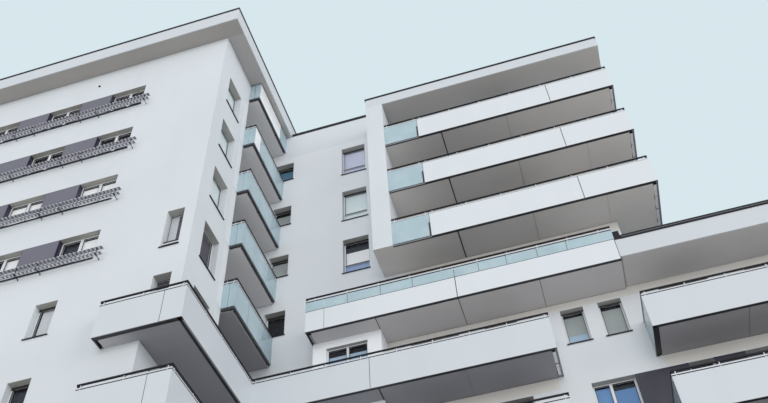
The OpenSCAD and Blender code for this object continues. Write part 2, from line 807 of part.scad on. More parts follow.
module wing_balcony_panels() {
    color(panel_white) for (z = corner_levels) place(0, wing_balcony_x, balcony_y, z)
        panels(0, wing_balcony_w, [wing_joint], balcony_t);
}

module wing_balcony_glass() {
    length = front_out - panel_t - 2 * gap;
    color(glass_blue) for (z = corner_levels) {
        place(-90, wing_balcony_x, tower_step - gap, z) panels(0, length, [], balcony_t);
        place(90, wing_balcony_end, balcony_y + panel_t + gap, z) panels(0, length, [], balcony_t);
    }
}

module wing_balcony_railings() {
    color(metal_dark) for (z = corner_levels) railings(wing_runs, z);
}

// Glass balconies in the tower's side loggia, the highest one at roof level
glass_near = loggia_y - panel_t - gap;
glass_levels = concat([for (k = [wing_storeys:storeys - 1]) floor_z(k)],
    [cornice_z - top_gap - high_rail]);
glass_runs = [[0, gap, glass_near, glass_out - gap, panel_gap],
    [90, glass_out, glass_near + run_start,
        tower_step - glass_near - run_start - sill_out - gap, panel_gap]];

module glass_balcony_slabs() {
    color(render_grey) for (z = glass_levels)
        slab([[-loggia_d, loggia_y], [0, loggia_y], [0, glass_near + edge_in],
            [glass_out - edge_in, glass_near + edge_in], [glass_out - edge_in, tower_step],
            [-loggia_d, tower_step]], z, balcony_t);
}

module glass_balcony_panes() {
    length = tower_step - glass_near - panel_t - 2 * gap;
    color(glass_blue) for (z = glass_levels) {
        place(0, 0, glass_near, z) panels(gap, glass_out, [glass_out / 2], glass_below);
        place(90, glass_out, glass_near + panel_t + gap, z)
            panels(0, length, [length / 3, 2 * length / 3], glass_below);
    }
}

module glass_balcony_railings() {
    color(metal_dark) for (z = glass_levels)
        railings(glass_runs, z, balcony_t - glass_below, z > roof_z ? high_rail : rail_top);
}

// Brackets that hold each post of a railing off the slab's edge
module balcony_brackets() {
    color(metal_dark) {
        for (z = upper_levels) brackets(upper_runs, z);
        for (z = corner_levels) brackets(concat(corner_runs, wing_runs), z);
        for (z = glass_levels) brackets(glass_runs, z);
        terrace_front() post_brackets(terrace_posts, panel_gap, terrace_t);
        terrace_side() post_brackets(post_places(terrace_side_w), end_gap, terrace_t);
    }
}

// Panels between the windows of a ribbon, flush with the wall
module infill_panels() {
    color(infill_mauve) {
        for (k = [wing_storeys:storeys - 1]) for (o = ribbon_infill)
            block([o[0], o[1]], [0, infill_t], [floor_z(k) + o[2], floor_z(k) + o[3]]);
        for (k = [0:last_low - 1]) for (o = band_infill)
            block([o[0], o[1]], [tower_step, tower_step + infill_t], [floor_z(k) + o[2], floor_z(k) + o[3]]);
    }
}

// Window guards: two slatted blades on arms in front of each ribbon
arm_x = [for (i = [0:ribbon_count - 1]) each
    [ribbon_start(i) + ribbon_w + arm_side, ribbon_start(i) - arm_side]];
guard_right = arm_x[0] + guard_end;
guard_left = arm_x[2 * ribbon_count - 1] - guard_end;
guard_w = guard_right - guard_left;
slat_count = floor((guard_w - 2 * blade_edge) / slat_pitch);
slat_start = (guard_w - slat_count * slat_pitch) / 2;

module blade() {
    linear_extrude(blade_t) difference() {
        square([guard_w, blade_d]);
        for (i = [0:slat_count - 1])
            translate([slat_start + i * slat_pitch + slat_w / 2, blade_edge])
                square([slat_pitch - slat_w, blade_d - 2 * blade_edge]);
    }
}

module guard_arm() {
    translate([-arm_t / 2, -blade_gap - blade_d, -arm_h]) cube([arm_t, blade_gap + blade_d, arm_h]);
    translate([-arm_t / 2, -blade_gap - blade_d / 2 - arm_h / 2, -arm_h])
        cube([arm_t, arm_h, arm_h + guard_step + blade_t]);
}

module window_guards() {
    color(blade_grey) for (k = [wing_storeys:storeys - 1]) translate([0, 0, floor_z(k) + guard_low]) {
        for (level = [0, guard_step]) translate([guard_left, -blade_gap - blade_d, level]) blade();
        for (x = arm_x) translate([x, 0, 0]) guard_arm();
    }
}

// Metal sills: each lies on the foot of its opening and stands out of the wall
module sill(width) {
    linear_extrude(sill_t) polygon([[0, sill_in], [0, 0], [-sill_ear, 0], [-sill_ear, -sill_out],
        [width + sill_ear, -sill_out], [width + sill_ear, 0], [width, 0], [width, sill_in]]);
}

module sills_x(openings, face_y, k) {
    for (o = openings) if (o[2] > 0)
        place(0, o[0], face_y, floor_z(k) + o[2]) sill(o[1] - o[0]);
}

module sills_y(openings, face_x, k) {
    for (o = openings) if (o[2] > 0)
        place(90, face_x, o[0], floor_z(k) + o[2]) sill(o[1] - o[0]);
}

module window_sills() {
    color(metal_dark) for (k = [0:storeys - 1]) {
        sills_x(tower_front_openings(k), 0, k);
        sills_x(main_front_openings(k), tower_step, k);
        sills_y(side_windows, k < last_low ? -corner_cut : 0, k);
        for (o = left_windows) place(-90, -tower_w, o[1], floor_z(k) + o[2]) sill(o[1] - o[0]);
        for (o = back_windows(k))
            place(180, o[1], back_y, floor_z(k) + o[2]) sill(o[1] - o[0]);
        if (k >= wing_storeys) sills_y(right_windows, main_w, k);
        if (k > 0 && k < wing_storeys)
            place(0, bay_x + (bay_w - bay_window_w) / 2, tower_step - bay_out, floor_z(k) + ribbon_sill)
                sill(bay_window_w);
    }
}

// Glazing: one sheet a storey behind the openings of each wall
sheet_end = 20;
sheet_edge = 150;

module sheet_x(x, y, k) {
    block([x[0] + sheet_end, x[1] - sheet_end], [y, y + glazing_t],
        [floor_z(k), floor_z(k) + room_h - sheet_edge]);
}

module sheet_y(x, y, k) {
    block([x, x + glazing_t], [y[0] + sheet_edge, y[1] - sheet_edge],
        [floor_z(k), floor_z(k) + room_h - sheet_edge]);
}

module window_glazing() {
    inner_y = tower_step + wall_t;
    color(glass_blue) for (k = [0:storeys - 1]) {
        low = k < last_low;
        has_bay = k > 0 && k < wing_storeys;
        cut = low ? corner_cut : 0;
        right = k < wing_storeys ? wing_end : main_w;
        sheet_x([wall_t - tower_w, -cut - wall_t], wall_t, k);
        sheet_y(wall_t - tower_w, [wall_t, back_y - wall_t], k);
        sheet_y(-cut - wall_t - glazing_t, [wall_t, low ? tower_step : loggia_y - wall_t], k);
        if (!low) sheet_y(-loggia_d - wall_t - glazing_t, [loggia_y, tower_step], k);
        if (k == 0) {
            sheet_x([0, entrance_x], inner_y, k);
            sheet_x([entrance_x + entrance_w, right - wall_t], inner_y, k);
        }
        else
            sheet_x([has_bay ? bay_x + bay_w - bay_t : 0, right - wall_t], inner_y, k);
        sheet_x([wall_t - tower_w, right - wall_t], back_y - wall_t - glazing_t, k);
        if (k >= wing_storeys) sheet_y(main_w - wall_t - glazing_t, [inner_y, back_y - wall_t], k);
        if (has_bay) sheet_x([bay_x + bay_t, bay_x + bay_w - bay_t], tower_step - bay_out + bay_t, k);
    }
}

// Entrance: two glazed leaves in a frame, set in the main front wall
module entrance_door() {
    leaf = (entrance_w - 3 * door_frame) / 2;
    color(metal_dark) translate([entrance_x, tower_step + wall_t / 2, base_h]) difference() {
        cube([entrance_w, door_d, head_h]);
        for (i = [0, 1]) translate([door_frame + i * (leaf + door_frame), -cut_over, door_frame])
            cube([leaf, door_d / 2 + cut_over, head_h - 2 * door_frame]);
    }
}

centred() ground_slab();
centred() floor_slabs();
centred() roof_slabs();
centred() tower_front_wall();
centred() tower_left_wall();
centred() tower_side_wall();
centred() loggia_walls();
centred() main_front_wall();
centred() main_right_wall();
centred() wing_end_wall();
centred() back_wall();
centred() bay_walls();
centred() tower_parapet();
centred() tower_cornice();
centred() main_parapet();
centred() wing_parapet();
centred() roof_copings();
centred() canopy_slab();
centred() balcony_pier();
centred() upper_balcony_slabs();
centred() upper_balcony_panels();
centred() upper_balcony_glass();
centred() upper_balcony_railings();
centred() terrace_slab();
centred() terrace_panels();
centred() terrace_glass();
centred() terrace_railing();
centred() wing_eaves();
centred() terrace_end_box();
centred() corner_balcony_slabs();
centred() corner_balcony_panels();
centred() corner_balcony_railings();
centred() wing_balcony_slabs();
centred() wing_balcony_panels();
centred() wing_balcony_glass();
centred() wing_balcony_railings();
centred() glass_balcony_slabs();
centred() glass_balcony_panes();
centred() glass_balcony_railings();
centred() balcony_brackets();
centred() infill_panels();
centred() window_guards();
centred() window_sills();
centred() window_glazing();
centred() entrance_door();
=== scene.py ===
"""Looks of an apartment block: window units, boards, clamps and finishes round its fixed frame."""

import logging
import math
from collections.abc import Iterable, Sequence
from dataclasses import dataclass, replace
from enum import Enum

import bmesh
import bpy
from mathutils import Matrix, Vector


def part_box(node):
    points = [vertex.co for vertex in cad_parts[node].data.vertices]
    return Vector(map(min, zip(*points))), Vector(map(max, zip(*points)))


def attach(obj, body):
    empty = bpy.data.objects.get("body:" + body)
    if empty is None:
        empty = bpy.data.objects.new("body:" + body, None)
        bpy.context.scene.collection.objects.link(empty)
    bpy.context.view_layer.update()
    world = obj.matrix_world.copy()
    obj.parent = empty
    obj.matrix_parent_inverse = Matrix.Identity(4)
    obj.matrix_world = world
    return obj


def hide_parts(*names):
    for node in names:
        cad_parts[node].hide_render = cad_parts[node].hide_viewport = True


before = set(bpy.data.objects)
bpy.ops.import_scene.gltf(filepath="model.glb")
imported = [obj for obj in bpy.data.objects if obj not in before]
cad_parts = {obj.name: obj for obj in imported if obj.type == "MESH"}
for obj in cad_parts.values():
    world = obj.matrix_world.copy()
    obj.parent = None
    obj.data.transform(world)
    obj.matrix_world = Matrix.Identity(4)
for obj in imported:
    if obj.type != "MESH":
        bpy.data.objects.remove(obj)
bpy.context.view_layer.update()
LOG = logging.getLogger("apartment_block")
ROOT = "root"
Colour = tuple[float, float, float]
Span = tuple[float, float]
Socket = bpy.types.NodeSocket
Material = bpy.types.Material


# Node trees

class Sketch:
    """Builds a node tree in short calls."""

    def __init__(self, tree: bpy.types.NodeTree) -> None:
        """Keep the tree that the calls add to."""
        self.tree = tree

    def add(self, kind: str, **settings: object) -> bpy.types.Node:
        """Add a node.

        Args:
            kind: Blender's name of the node type.
            settings: Properties to set on the new node.

        Returns:
            The new node.
        """
        node = self.tree.nodes.new(kind)
        for name, value in settings.items():
            setattr(node, name, value)
        return node

    def wire(self, source: object, target: Socket) -> None:
        """Join a socket, or write a plain value, to an input.

        Args:
            source: A socket, a Number or a plain value.
            target: The input that takes it.
        """
        if isinstance(source, Number):
            source = source.socket
        if isinstance(source, Socket):
            self.tree.links.new(source, target)
        else:
            target.default_value = source


class Number:
    """A number socket that takes part in plain arithmetic."""

    def __init__(self, sketch: Sketch, socket: Socket) -> None:
        """Keep the socket and the sketch that its sums are drawn in."""
        self.sketch = sketch
        self.socket = socket

    def _sum(self, operation: str, first: object, second: object) -> "Number":
        """Add a Math node.

        Args:
            operation: The Math node's operation.
            first: Its first value.
            second: Its second value.

        Returns:
            The result as a Number.
        """
        node = self.sketch.add("ShaderNodeMath", operation=operation)
        self.sketch.wire(first, node.inputs[0])
        self.sketch.wire(second, node.inputs[1])
        return Number(self.sketch, node.outputs[0])

    def __add__(self, other: object) -> "Number":
        """Add."""
        return self._sum("ADD", self, other)

    def __sub__(self, other: object) -> "Number":
        """Subtract."""
        return self._sum("SUBTRACT", self, other)

    def __mul__(self, other: object) -> "Number":
        """Multiply."""
        return self._sum("MULTIPLY", self, other)

    def __truediv__(self, other: object) -> "Number":
        """Divide."""
        return self._sum("DIVIDE", self, other)

    def at_least(self, other: object) -> "Number":
        """Take the greater of two values."""
        return self._sum("MAXIMUM", self, other)


# Finishes

class Surface(Sketch):
    """A material under construction: one Principled shader on Object coordinates."""

    def __init__(self, name: str) -> None:
        """Make the material with its shader and its coordinates.

        Args:
            name: The material's name.
        """
        self.material = bpy.data.materials.new(name)
        self.material.use_nodes = True
        super().__init__(self.material.node_tree)
        self.shader = self.tree.nodes["Principled BSDF"]
        self.place = self.add("ShaderNodeTexCoord").outputs["Object"]

    def noise(self, scale: float, detail: float, stretch: Colour = (1.0, 1.0, 1.0)) -> Socket:
        """Add a noise pattern.

        Args:
            scale: Cells for each metre.
            detail: Octaves of the pattern.
            stretch: Scale of the coordinates along each axis.

        Returns:
            The pattern's value.
        """
        mapping = self.add("ShaderNodeMapping")
        mapping.inputs["Scale"].default_value = stretch
        self.wire(self.place, mapping.inputs["Vector"])
        pattern = self.add("ShaderNodeTexNoise")
        pattern.inputs["Scale"].default_value = scale
        pattern.inputs["Detail"].default_value = detail
        self.wire(mapping.outputs["Vector"], pattern.inputs["Vector"])
        return pattern.outputs["Fac"]

    def graded(self, value: object, low: Span, high: Span) -> Socket:
        """Map a value from one range to another.

        Args:
            value: What is mapped.
            low: Lowest value before and after.
            high: Highest value before and after.

        Returns:
            The mapped value, held inside its new range.
        """
        node = self.add("ShaderNodeMapRange")
        self.wire(value, node.inputs["Value"])
        for side, (before, after) in (("Min", low), ("Max", high)):
            node.inputs[f"From {side}"].default_value = before
            node.inputs[f"To {side}"].default_value = after
        return node.outputs["Result"]

    def along(self, change: Span, start: float = 0.0, end: float = 1.0) -> Socket:
        """Grade a value along X.

        Args:
            change: The places between which it changes.
            start: The value before them.
            end: The value after them.

        Returns:
            The value.
        """
        split = self.add("ShaderNodeSeparateXYZ")
        self.wire(self.place, split.inputs[0])
        return self.graded(split.outputs["X"], (change[0], start), (change[1], end))

    def blend(self, share: object, first: object, second: object) -> Socket:
        """Mix two colours.

        Args:
            share: How much of the second colour is used.
            first: The first colour.
            second: The second colour.

        Returns:
            The mixed colour.
        """
        node = self.add("ShaderNodeMix", data_type="RGBA")
        self.wire(share, node.inputs["Factor"])
        for value, index in ((first, 6), (second, 7)):
            if isinstance(value, tuple):
                value = (*value, 1.0)
            self.wire(value, node.inputs[index])
        return node.outputs[2]

    def relief(self, value: object, depth: float, below: object = None) -> Socket:
        """Add a bump.

        Args:
            value: The height pattern.
            depth: Height of the pattern in metres.
            below: The normal of a coarser bump.

        Returns:
            The normal.
        """
        node = self.add("ShaderNodeBump")
        node.inputs["Strength"].default_value = 1.0
        node.inputs["Distance"].default_value = depth
        self.wire(value, node.inputs["Height"])
        if below is not None:
            self.wire(below, node.inputs["Normal"])
        return node.outputs["Normal"]

    def finish(self, colour: object, roughness: object, normal: object = None, **fixed: object) -> Material:
        """Set the shader's inputs.

        Args:
            colour: Base colour.
            roughness: Roughness.
            normal: Normal of the surface.
            fixed: Other inputs of the shader, by name with underscores for spaces.

        Returns:
            The finished material.
        """
        if isinstance(colour, tuple):
            colour = (*colour, 1.0)
        self.wire(colour, self.shader.inputs["Base Color"])
        self.wire(roughness, self.shader.inputs["Roughness"])
        if normal is not None:
            self.wire(normal, self.shader.inputs["Normal"])
        for name, value in fixed.items():
            self.shader.inputs[name.replace("_", " ")].default_value = value
        return self.material

    def sanded(self, colour: object, below: object = None) -> Material:
        """Finish the material with a sandy grain.

        Args:
            colour: Base colour.
            below: The normal of a coarser bump.

        Returns:
            The finished material.
        """
        grain = self.noise(220.0, 2.0)
        roughness = self.graded(grain, (0.3, 0.82), (0.7, 0.95))
        return self.finish(colour, roughness, self.relief(grain, 0.0012, below))


@dataclass(frozen=True)
class MineralRender:
    """Fine painted render, with faint cloudiness, rain streaks and a sandy grain."""

    name: str
    colour: Colour
    stain: Colour
    clouds: float = 0.35
    streaks: float = 0.16

    def make(self) -> Material:
        """Build the material.

        Returns:
            The material.
        """
        s = Surface(self.name)
        clouds = s.graded(s.noise(0.22, 4.0), (0.35, 0.0), (0.70, self.clouds))
        streaks = s.graded(s.noise(1.6, 5.0, (1.0, 1.0, 0.06)), (0.52, 0.0), (0.80, self.streaks))
        colour = s.blend(clouds, self.colour, self.stain)
        colour = s.blend(streaks, colour, self.stain)
        return s.sanded(colour, s.relief(s.noise(1.1, 2.0), 0.006))


@dataclass(frozen=True)
class LitSoffitPaint:
    """Soffit paint with faint clouds, paler towards the open end and near the pier to paint the light that
    reaches the soffit there.
    """

    name: str
    colour: Colour
    pale: Colour
    change: Span = (3.5, 11.4)
    pier_light_change: Span = (-30.0, -29.0)
    pier_light_most: float = 0.85

    def make(self) -> Material:
        """Build the material.

        Returns:
            The material.
        """
        s = Surface(self.name)
        # Painted light: the pale colour takes over towards the open end and near the pier.
        lit_share = Number(s, s.along(self.change)).at_least(s.along(self.pier_light_change, self.pier_light_most, 0.0))
        clouds = s.graded(s.noise(0.3, 4.0), (0.35, 0.92), (0.70, 1.06))
        return s.sanded(s.blend(lit_share * clouds, self.colour, self.pale))


@dataclass(frozen=True)
class CoatedBoard:
    """Smooth facade board with a satin coat, a little dust and slight waves.

    Where it has a wing colour, the board changes to it between the tower and the wing; that darker colour
    paints the shade on the wing's infill under its balconies.
    """

    name: str
    colour: Colour
    dust: Colour
    roughness: float = 0.38
    dusty: float = 0.30
    waves: float = 0.003
    coat: float = 0.15
    wing: Colour | None = None
    change: Span = (-3.2, -2.6)

    def make(self) -> Material:
        """Build the material.

        Returns:
            The material.
        """
        s = Surface(self.name)
        # Painted shade: the wing's darker colour takes over between the tower and the wing.
        colour = s.blend(s.along(self.change), self.colour, self.wing) if self.wing else self.colour
        share = s.graded(s.noise(1.3, 5.0, (1.0, 1.0, 0.25)), (0.45, 0.0), (0.85, self.dusty))
        roughness = s.graded(s.noise(6.0, 4.0), (0.3, self.roughness - 0.05), (0.7, self.roughness + 0.08))
        return s.finish(s.blend(share, colour, self.dust), roughness,
                        s.relief(s.noise(1.7, 1.0), self.waves), Coat_Weight=self.coat)


@dataclass(frozen=True)
class SatinMetal:
    """Painted or bare sheet metal with faint smears."""

    name: str
    colour: Colour
    worn: Colour
    metallic: float = 0.0
    roughness: float = 0.42
    gloss: float = 0.5

    def make(self) -> Material:
        """Build the material.

        Returns:
            The material.
        """
        s = Surface(self.name)
        smears = s.graded(s.noise(5.0, 5.0, (1.0, 1.0, 0.4)), (0.45, 0.0), (0.8, 0.5))
        colour = s.blend(smears, self.colour, self.worn)
        roughness = s.graded(s.noise(18.0, 3.0), (0.3, self.roughness - 0.07), (0.7, self.roughness + 0.1))
        return s.finish(colour, roughness, s.relief(s.noise(30.0, 2.0), 0.0006), Metallic=self.metallic,
                        Specular_IOR_Level=self.gloss)


@dataclass(frozen=True)
class ClearGlass:
    """Glass with a tint or a mirroring coat, faint ripples and a thin film of dust."""

    name: str
    tint: Colour
    film: Colour
    alpha: float
    ior: float = 1.5
    coat: float = 0.0
    filmed: float = 0.5

    def make(self) -> Material:
        """Build the material.

        Returns:
            The material.
        """
        s = Surface(self.name)
        film = s.graded(s.noise(2.4, 5.0), (0.4, 0.0), (0.85, self.filmed))
        colour = s.blend(film, self.tint, self.film)
        roughness = s.graded(s.noise(3.0, 4.0), (0.3, 0.02), (0.8, 0.09))
        ripples = s.relief(s.noise(0.9, 1.0), 0.0015)
        return s.finish(colour, roughness, ripples, IOR=self.ior, Alpha=self.alpha, Metallic=self.coat)


@dataclass(frozen=True)
class CastConcrete:
    """Bare concrete or roof covering with blotches and pores."""

    name: str
    colour: Colour
    dark: Colour

    def make(self) -> Material:
        """Build the material.

        Returns:
            The material.
        """
        s = Surface(self.name)
        colour = s.blend(s.graded(s.noise(0.7, 6.0), (0.35, 0.0), (0.75, 1.0)), self.colour, self.dark)
        pores = s.noise(90.0, 3.0)
        normal = s.relief(pores, 0.002, s.relief(s.noise(2.0, 3.0), 0.004))
        return s.finish(colour, s.graded(pores, (0.3, 0.75), (0.7, 0.95)), normal)


@dataclass(frozen=True)
class WovenBlind:
    """Cloth of a blind or curtain with a fine weave."""

    name: str
    colour: Colour
    shade: Colour

    def make(self) -> Material:
        """Build the material.

        Returns:
            The material.
        """
        s = Surface(self.name)
        colour = s.blend(s.graded(s.noise(0.5, 1.0), (0.4, 0.0), (0.6, 1.0)), self.colour, self.shade)
        weave = s.noise(260.0, 1.0)
        return s.finish(colour, 0.9, s.relief(weave, 0.0008))


RENDER_WHITE = MineralRender("white_render", (0.66, 0.70, 0.74), (0.56, 0.595, 0.63))
# Painted light: the recess walls take a lighter copy of the white render to offset the shade of the recess.
RECESS_LIT_WHITE = MineralRender("recess_render", (0.71, 0.745, 0.785), (0.61, 0.64, 0.675))
# Painted light: warm bounce light, painted on the wall bands under the soffits.
HEAD_BOUNCE_CREAM = MineralRender("wall_head_paint", (0.72, 0.70, 0.67), (0.65, 0.63, 0.60), 0.4, 0.0)
# Painted light: the bay walls take a much lighter copy of the render to offset their shade under the slabs.
BAY_LIT_WHITE = MineralRender("bay_render", (0.86, 0.89, 0.93), (0.76, 0.79, 0.83))
FASCIA_WHITE = MineralRender("white_fascia", (0.61, 0.65, 0.69), (0.53, 0.56, 0.60))
# Soffit finishes: one grey soffit paint made lighter or darker, soffit by soffit, to paint the light and
# shade each soffit gets.
UPPER_SOFFIT = LitSoffitPaint("upper_soffit_paint", (0.47, 0.455, 0.455), (0.76, 0.73, 0.71),
                           (5.4, 11.4), (2.5, 4.8))
# Painted shade: the lower soffits are painted darker for the shade the lower storeys get.
LOWER_SOFFIT_SHADED = MineralRender("lower_soffit_paint", (0.40, 0.395, 0.425), (0.34, 0.33, 0.355), 0.5, 0.0)
CORNER_SOFFIT = LitSoffitPaint("corner_soffit_paint", (0.345, 0.345, 0.385), (0.535, 0.54, 0.555), (-3.8, -5.0))
# Painted light: the loggia soffits are painted nearly white to stand in for the light in the loggia.
LOGGIA_SOFFIT_LIT = MineralRender("loggia_soffit_paint", (0.80, 0.79, 0.80), (0.71, 0.70, 0.71), 0.5, 0.0)
TERRACE_SOFFIT = MineralRender("terrace_soffit_paint", (0.65, 0.63, 0.64), (0.57, 0.55, 0.555), 0.4, 0.0)
CORNICE_SOFFIT = MineralRender("cornice_soffit_paint", (0.41, 0.395, 0.385), (0.35, 0.335, 0.325), 0.5, 0.0)
CANOPY_SOFFIT = LitSoffitPaint("canopy_soffit_paint", (0.46, 0.445, 0.44), (0.60, 0.585, 0.575))
PANEL_WHITE = CoatedBoard("balcony_board", (0.69, 0.725, 0.765), (0.61, 0.635, 0.67))
LOWER_PANEL = CoatedBoard("lower_balcony_board", (0.60, 0.64, 0.685), (0.53, 0.56, 0.60))
# Painted shade: a darker grey of the boards for their turned-in foot.
EDGE_SHADE_GREY = CoatedBoard("board_edge_coat", (0.36, 0.36, 0.39), (0.31, 0.31, 0.335))
# Frosted panes, and pale strips of painted light in the slits at two balcony ends.
FROSTED_AND_LIT = CoatedBoard("frosted_pane", (0.86, 0.88, 0.90), (0.78, 0.80, 0.82), 0.2)
# Infill boards; the last colour is painted shade on the wing's infill.
INFILL_MAUVE = CoatedBoard("infill_board", (0.136, 0.131, 0.168), (0.19, 0.18, 0.215), 0.45, 0.14, 0.002,
                           0.0, (0.024, 0.022, 0.038))
DARK_METAL = SatinMetal("dark_metal", (0.014, 0.013, 0.018), (0.024, 0.022, 0.028), 0.0, 0.5, 0.2)
SLIM_METAL = SatinMetal("loggia_rail_metal", (0.040, 0.038, 0.046), (0.075, 0.070, 0.080), 0.0, 0.45, 0.25)
RAIL_METAL = SatinMetal("rail_metal", (0.014, 0.012, 0.018), (0.032, 0.030, 0.036), 0.0, 0.45, 0.25)
TRIM_METAL = SatinMetal("rail_front_metal", (0.26, 0.26, 0.29), (0.20, 0.20, 0.23), 0.2, 0.45)
CAP_METAL = SatinMetal("panel_cap_metal", (0.66, 0.68, 0.72), (0.56, 0.58, 0.62), 0.1, 0.4)
BLADE_SLAT = SatinMetal("blade_slat_metal", (0.64, 0.64, 0.69), (0.52, 0.52, 0.57), 0.2, 0.45)
LOUVRE_DARK = SatinMetal("louvre_dark_metal", (0.24, 0.235, 0.28), (0.27, 0.265, 0.305), 0.2, 0.5)
LOUVRE_GREY = SatinMetal("louvre_grey_metal", (0.24, 0.24, 0.29), (0.19, 0.19, 0.23), 0.2, 0.5)
LINER_DARK = CoatedBoard("ribbon_liner_board", (0.022, 0.018, 0.045), (0.035, 0.030, 0.055), 0.45)
CLAMP_METAL = SatinMetal("clamp_metal", (0.70, 0.72, 0.75), (0.58, 0.60, 0.62), 0.3, 0.35)
FRAME_WHITE = CoatedBoard("window_frame", (0.72, 0.74, 0.77), (0.62, 0.63, 0.65), 0.30)
# Black for seals and joints, and for painted shade in the balconies' slots and along the soffits' edges.
SEAL_AND_SHADE_BLACK = SatinMetal("window_seal", (0.022, 0.022, 0.026), (0.04, 0.04, 0.045), 0.0, 0.5)
BALCONY_GLASS = ClearGlass("balcony_glass", (0.47, 0.62, 0.69), (0.62, 0.73, 0.78), 0.72, 1.6)
WINDOW_GLASS = ClearGlass("window_glass", (0.34, 0.41, 0.48), (0.44, 0.50, 0.55), 0.045, 1.5, 1.0, 0.3)
CONCRETE = CastConcrete("bare_concrete", (0.36, 0.36, 0.35), (0.28, 0.28, 0.27))
ROOF_COVER = CastConcrete("roof_cover", (0.30, 0.30, 0.30), (0.22, 0.22, 0.22))
FLOOR_TILE = CastConcrete("floor_tile", (0.42, 0.42, 0.41), (0.34, 0.335, 0.33))
# Painted shade: a darker, olive copy of the render for the shade under each head.
REVEAL_SHADE_OLIVE = MineralRender("reveal_head_paint", (0.44, 0.435, 0.41), (0.37, 0.365, 0.345), 0.4, 0.0)


class Cloth(Enum):
    """The cloths of the blinds and curtains behind the panes, and the dark sheet that paints the shade of the
    rooms.
    """

    # Pale blinds, made bright enough to paint the sky's reflection in the panes too.
    WHITE = WovenBlind("white_blind", (0.96, 0.97, 0.98), (0.90, 0.91, 0.93))
    LILAC = WovenBlind("lilac_blind", (0.68, 0.70, 0.86), (0.60, 0.63, 0.80))
    MINT = WovenBlind("mint_blind", (0.76, 0.86, 0.87), (0.68, 0.79, 0.81))
    # Pearl: a blind in the small windows, and painted light of a lit niche wall in the slim ones.
    PEARL = WovenBlind("pearl_blind", (0.66, 0.68, 0.72), (0.58, 0.60, 0.64))
    STEEL = WovenBlind("steel_blind", (0.42, 0.46, 0.46), (0.36, 0.40, 0.41))
    PETROL = WovenBlind("petrol_blind", (0.10, 0.23, 0.32), (0.08, 0.19, 0.28))
    # Taupe: a brown interior darkened to paint its shade.
    TAUPE = WovenBlind("taupe_blind", (0.11, 0.095, 0.115), (0.085, 0.075, 0.095))
    SKY = WovenBlind("blue_curtain", (0.07, 0.18, 0.44), (0.15, 0.30, 0.58))
    AZURE = WovenBlind("azure_blind", (0.32, 0.42, 0.66), (0.28, 0.37, 0.60))
    # Mist: a curtain that also paints the bluish sky reflection in the bay's panes.
    MIST = WovenBlind("mist_curtain", (0.46, 0.60, 0.74), (0.40, 0.54, 0.70))
    # Painted shade: the dark sheet behind every unit that stands for the room's shade.
    NIGHT = WovenBlind("night_curtain", (0.020, 0.017, 0.026), (0.012, 0.010, 0.016))


class Palette:
    """Makes each finish once and hands it out."""

    def __init__(self) -> None:
        """Start with no material made."""
        self._made: dict[str, Material] = {}

    def __getitem__(self, finish: object) -> Material:
        """Give the material of a finish, made at its first use.

        Args:
            finish: The finish.

        Returns:
            Its material.
        """
        if finish.name not in self._made:
            self._made[finish.name] = finish.make()
        return self._made[finish.name]


# Meshes

def add_object(name: str, mesh: bpy.types.Mesh, *materials: Material) -> bpy.types.Object:
    """Put a mesh into the scene at the origin.

    Args:
        name: Name of the new object.
        mesh: Its mesh.
        materials: Materials for its slots, in order.

    Returns:
        The new object.
    """
    for material in materials:
        mesh.materials.append(material)
    piece = bpy.data.objects.new(name, mesh)
    bpy.context.scene.collection.objects.link(piece)
    return piece


def keep(piece: bpy.types.Object, slot: str, *nodes: str) -> None:
    """Let a piece ride with the building and report it.

    Args:
        piece: The finished piece.
        slot: Not used.
        nodes: CAD nodes that it stands for.
    """
    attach(piece, ROOT)
    if nodes:
        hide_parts(*nodes)
    LOG.info("%s: %d faces", piece.name, len(piece.data.polygons))


@dataclass(frozen=True)
class Block:
    """A box along the axes, from its lowest to its highest corner."""

    x: Span
    y: Span
    z: Span

    @classmethod
    def between(cls, first: Vector, second: Vector) -> "Block":
        """Give the box between two opposite corners."""
        return cls(*((min(a, b), max(a, b)) for a, b in zip(first, second)))


def to_mesh(name: str, shape: bmesh.types.BMesh) -> bpy.types.Mesh:
    """Turn a finished shape into a mesh.

    Args:
        name: Name of the mesh.
        shape: The shape, which is freed.

    Returns:
        The mesh.
    """
    mesh = bpy.data.meshes.new(name)
    shape.to_mesh(mesh)
    shape.free()
    return mesh


def keep_blocks(name: str, blocks: Iterable[Block], material: Material, slot: str,
                bevel: float = 0.0) -> None:
    """Keep one piece made of many boxes.

    Args:
        name: Name of the piece.
        blocks: The boxes.
        material: Its material.
        slot: Handed on to keep, which does not use it.
        bevel: Width of a chamfer along every edge, or 0 for none.
    """
    shape = bmesh.new()
    for block in blocks:
        made = bmesh.ops.create_cube(shape, size=1.0)["verts"]
        size = Vector(high - low for low, high in (block.x, block.y, block.z))
        middle = Vector((low + high) / 2 for low, high in (block.x, block.y, block.z))
        fit = Matrix.Translation(middle) @ Matrix.Diagonal((*size, 1.0))
        bmesh.ops.transform(shape, matrix=fit, verts=made)
    if bevel:
        bmesh.ops.bevel(shape, geom=shape.edges[:], offset=bevel, segments=1, affect="EDGES")
    keep(add_object(name, to_mesh(name, shape), material), slot)


def turned(turn: int) -> Matrix:
    """Give the turn about the vertical by an angle in degrees."""
    return Matrix.Rotation(math.radians(turn), 3, "Z")


# Places of the building, worked out from the frame

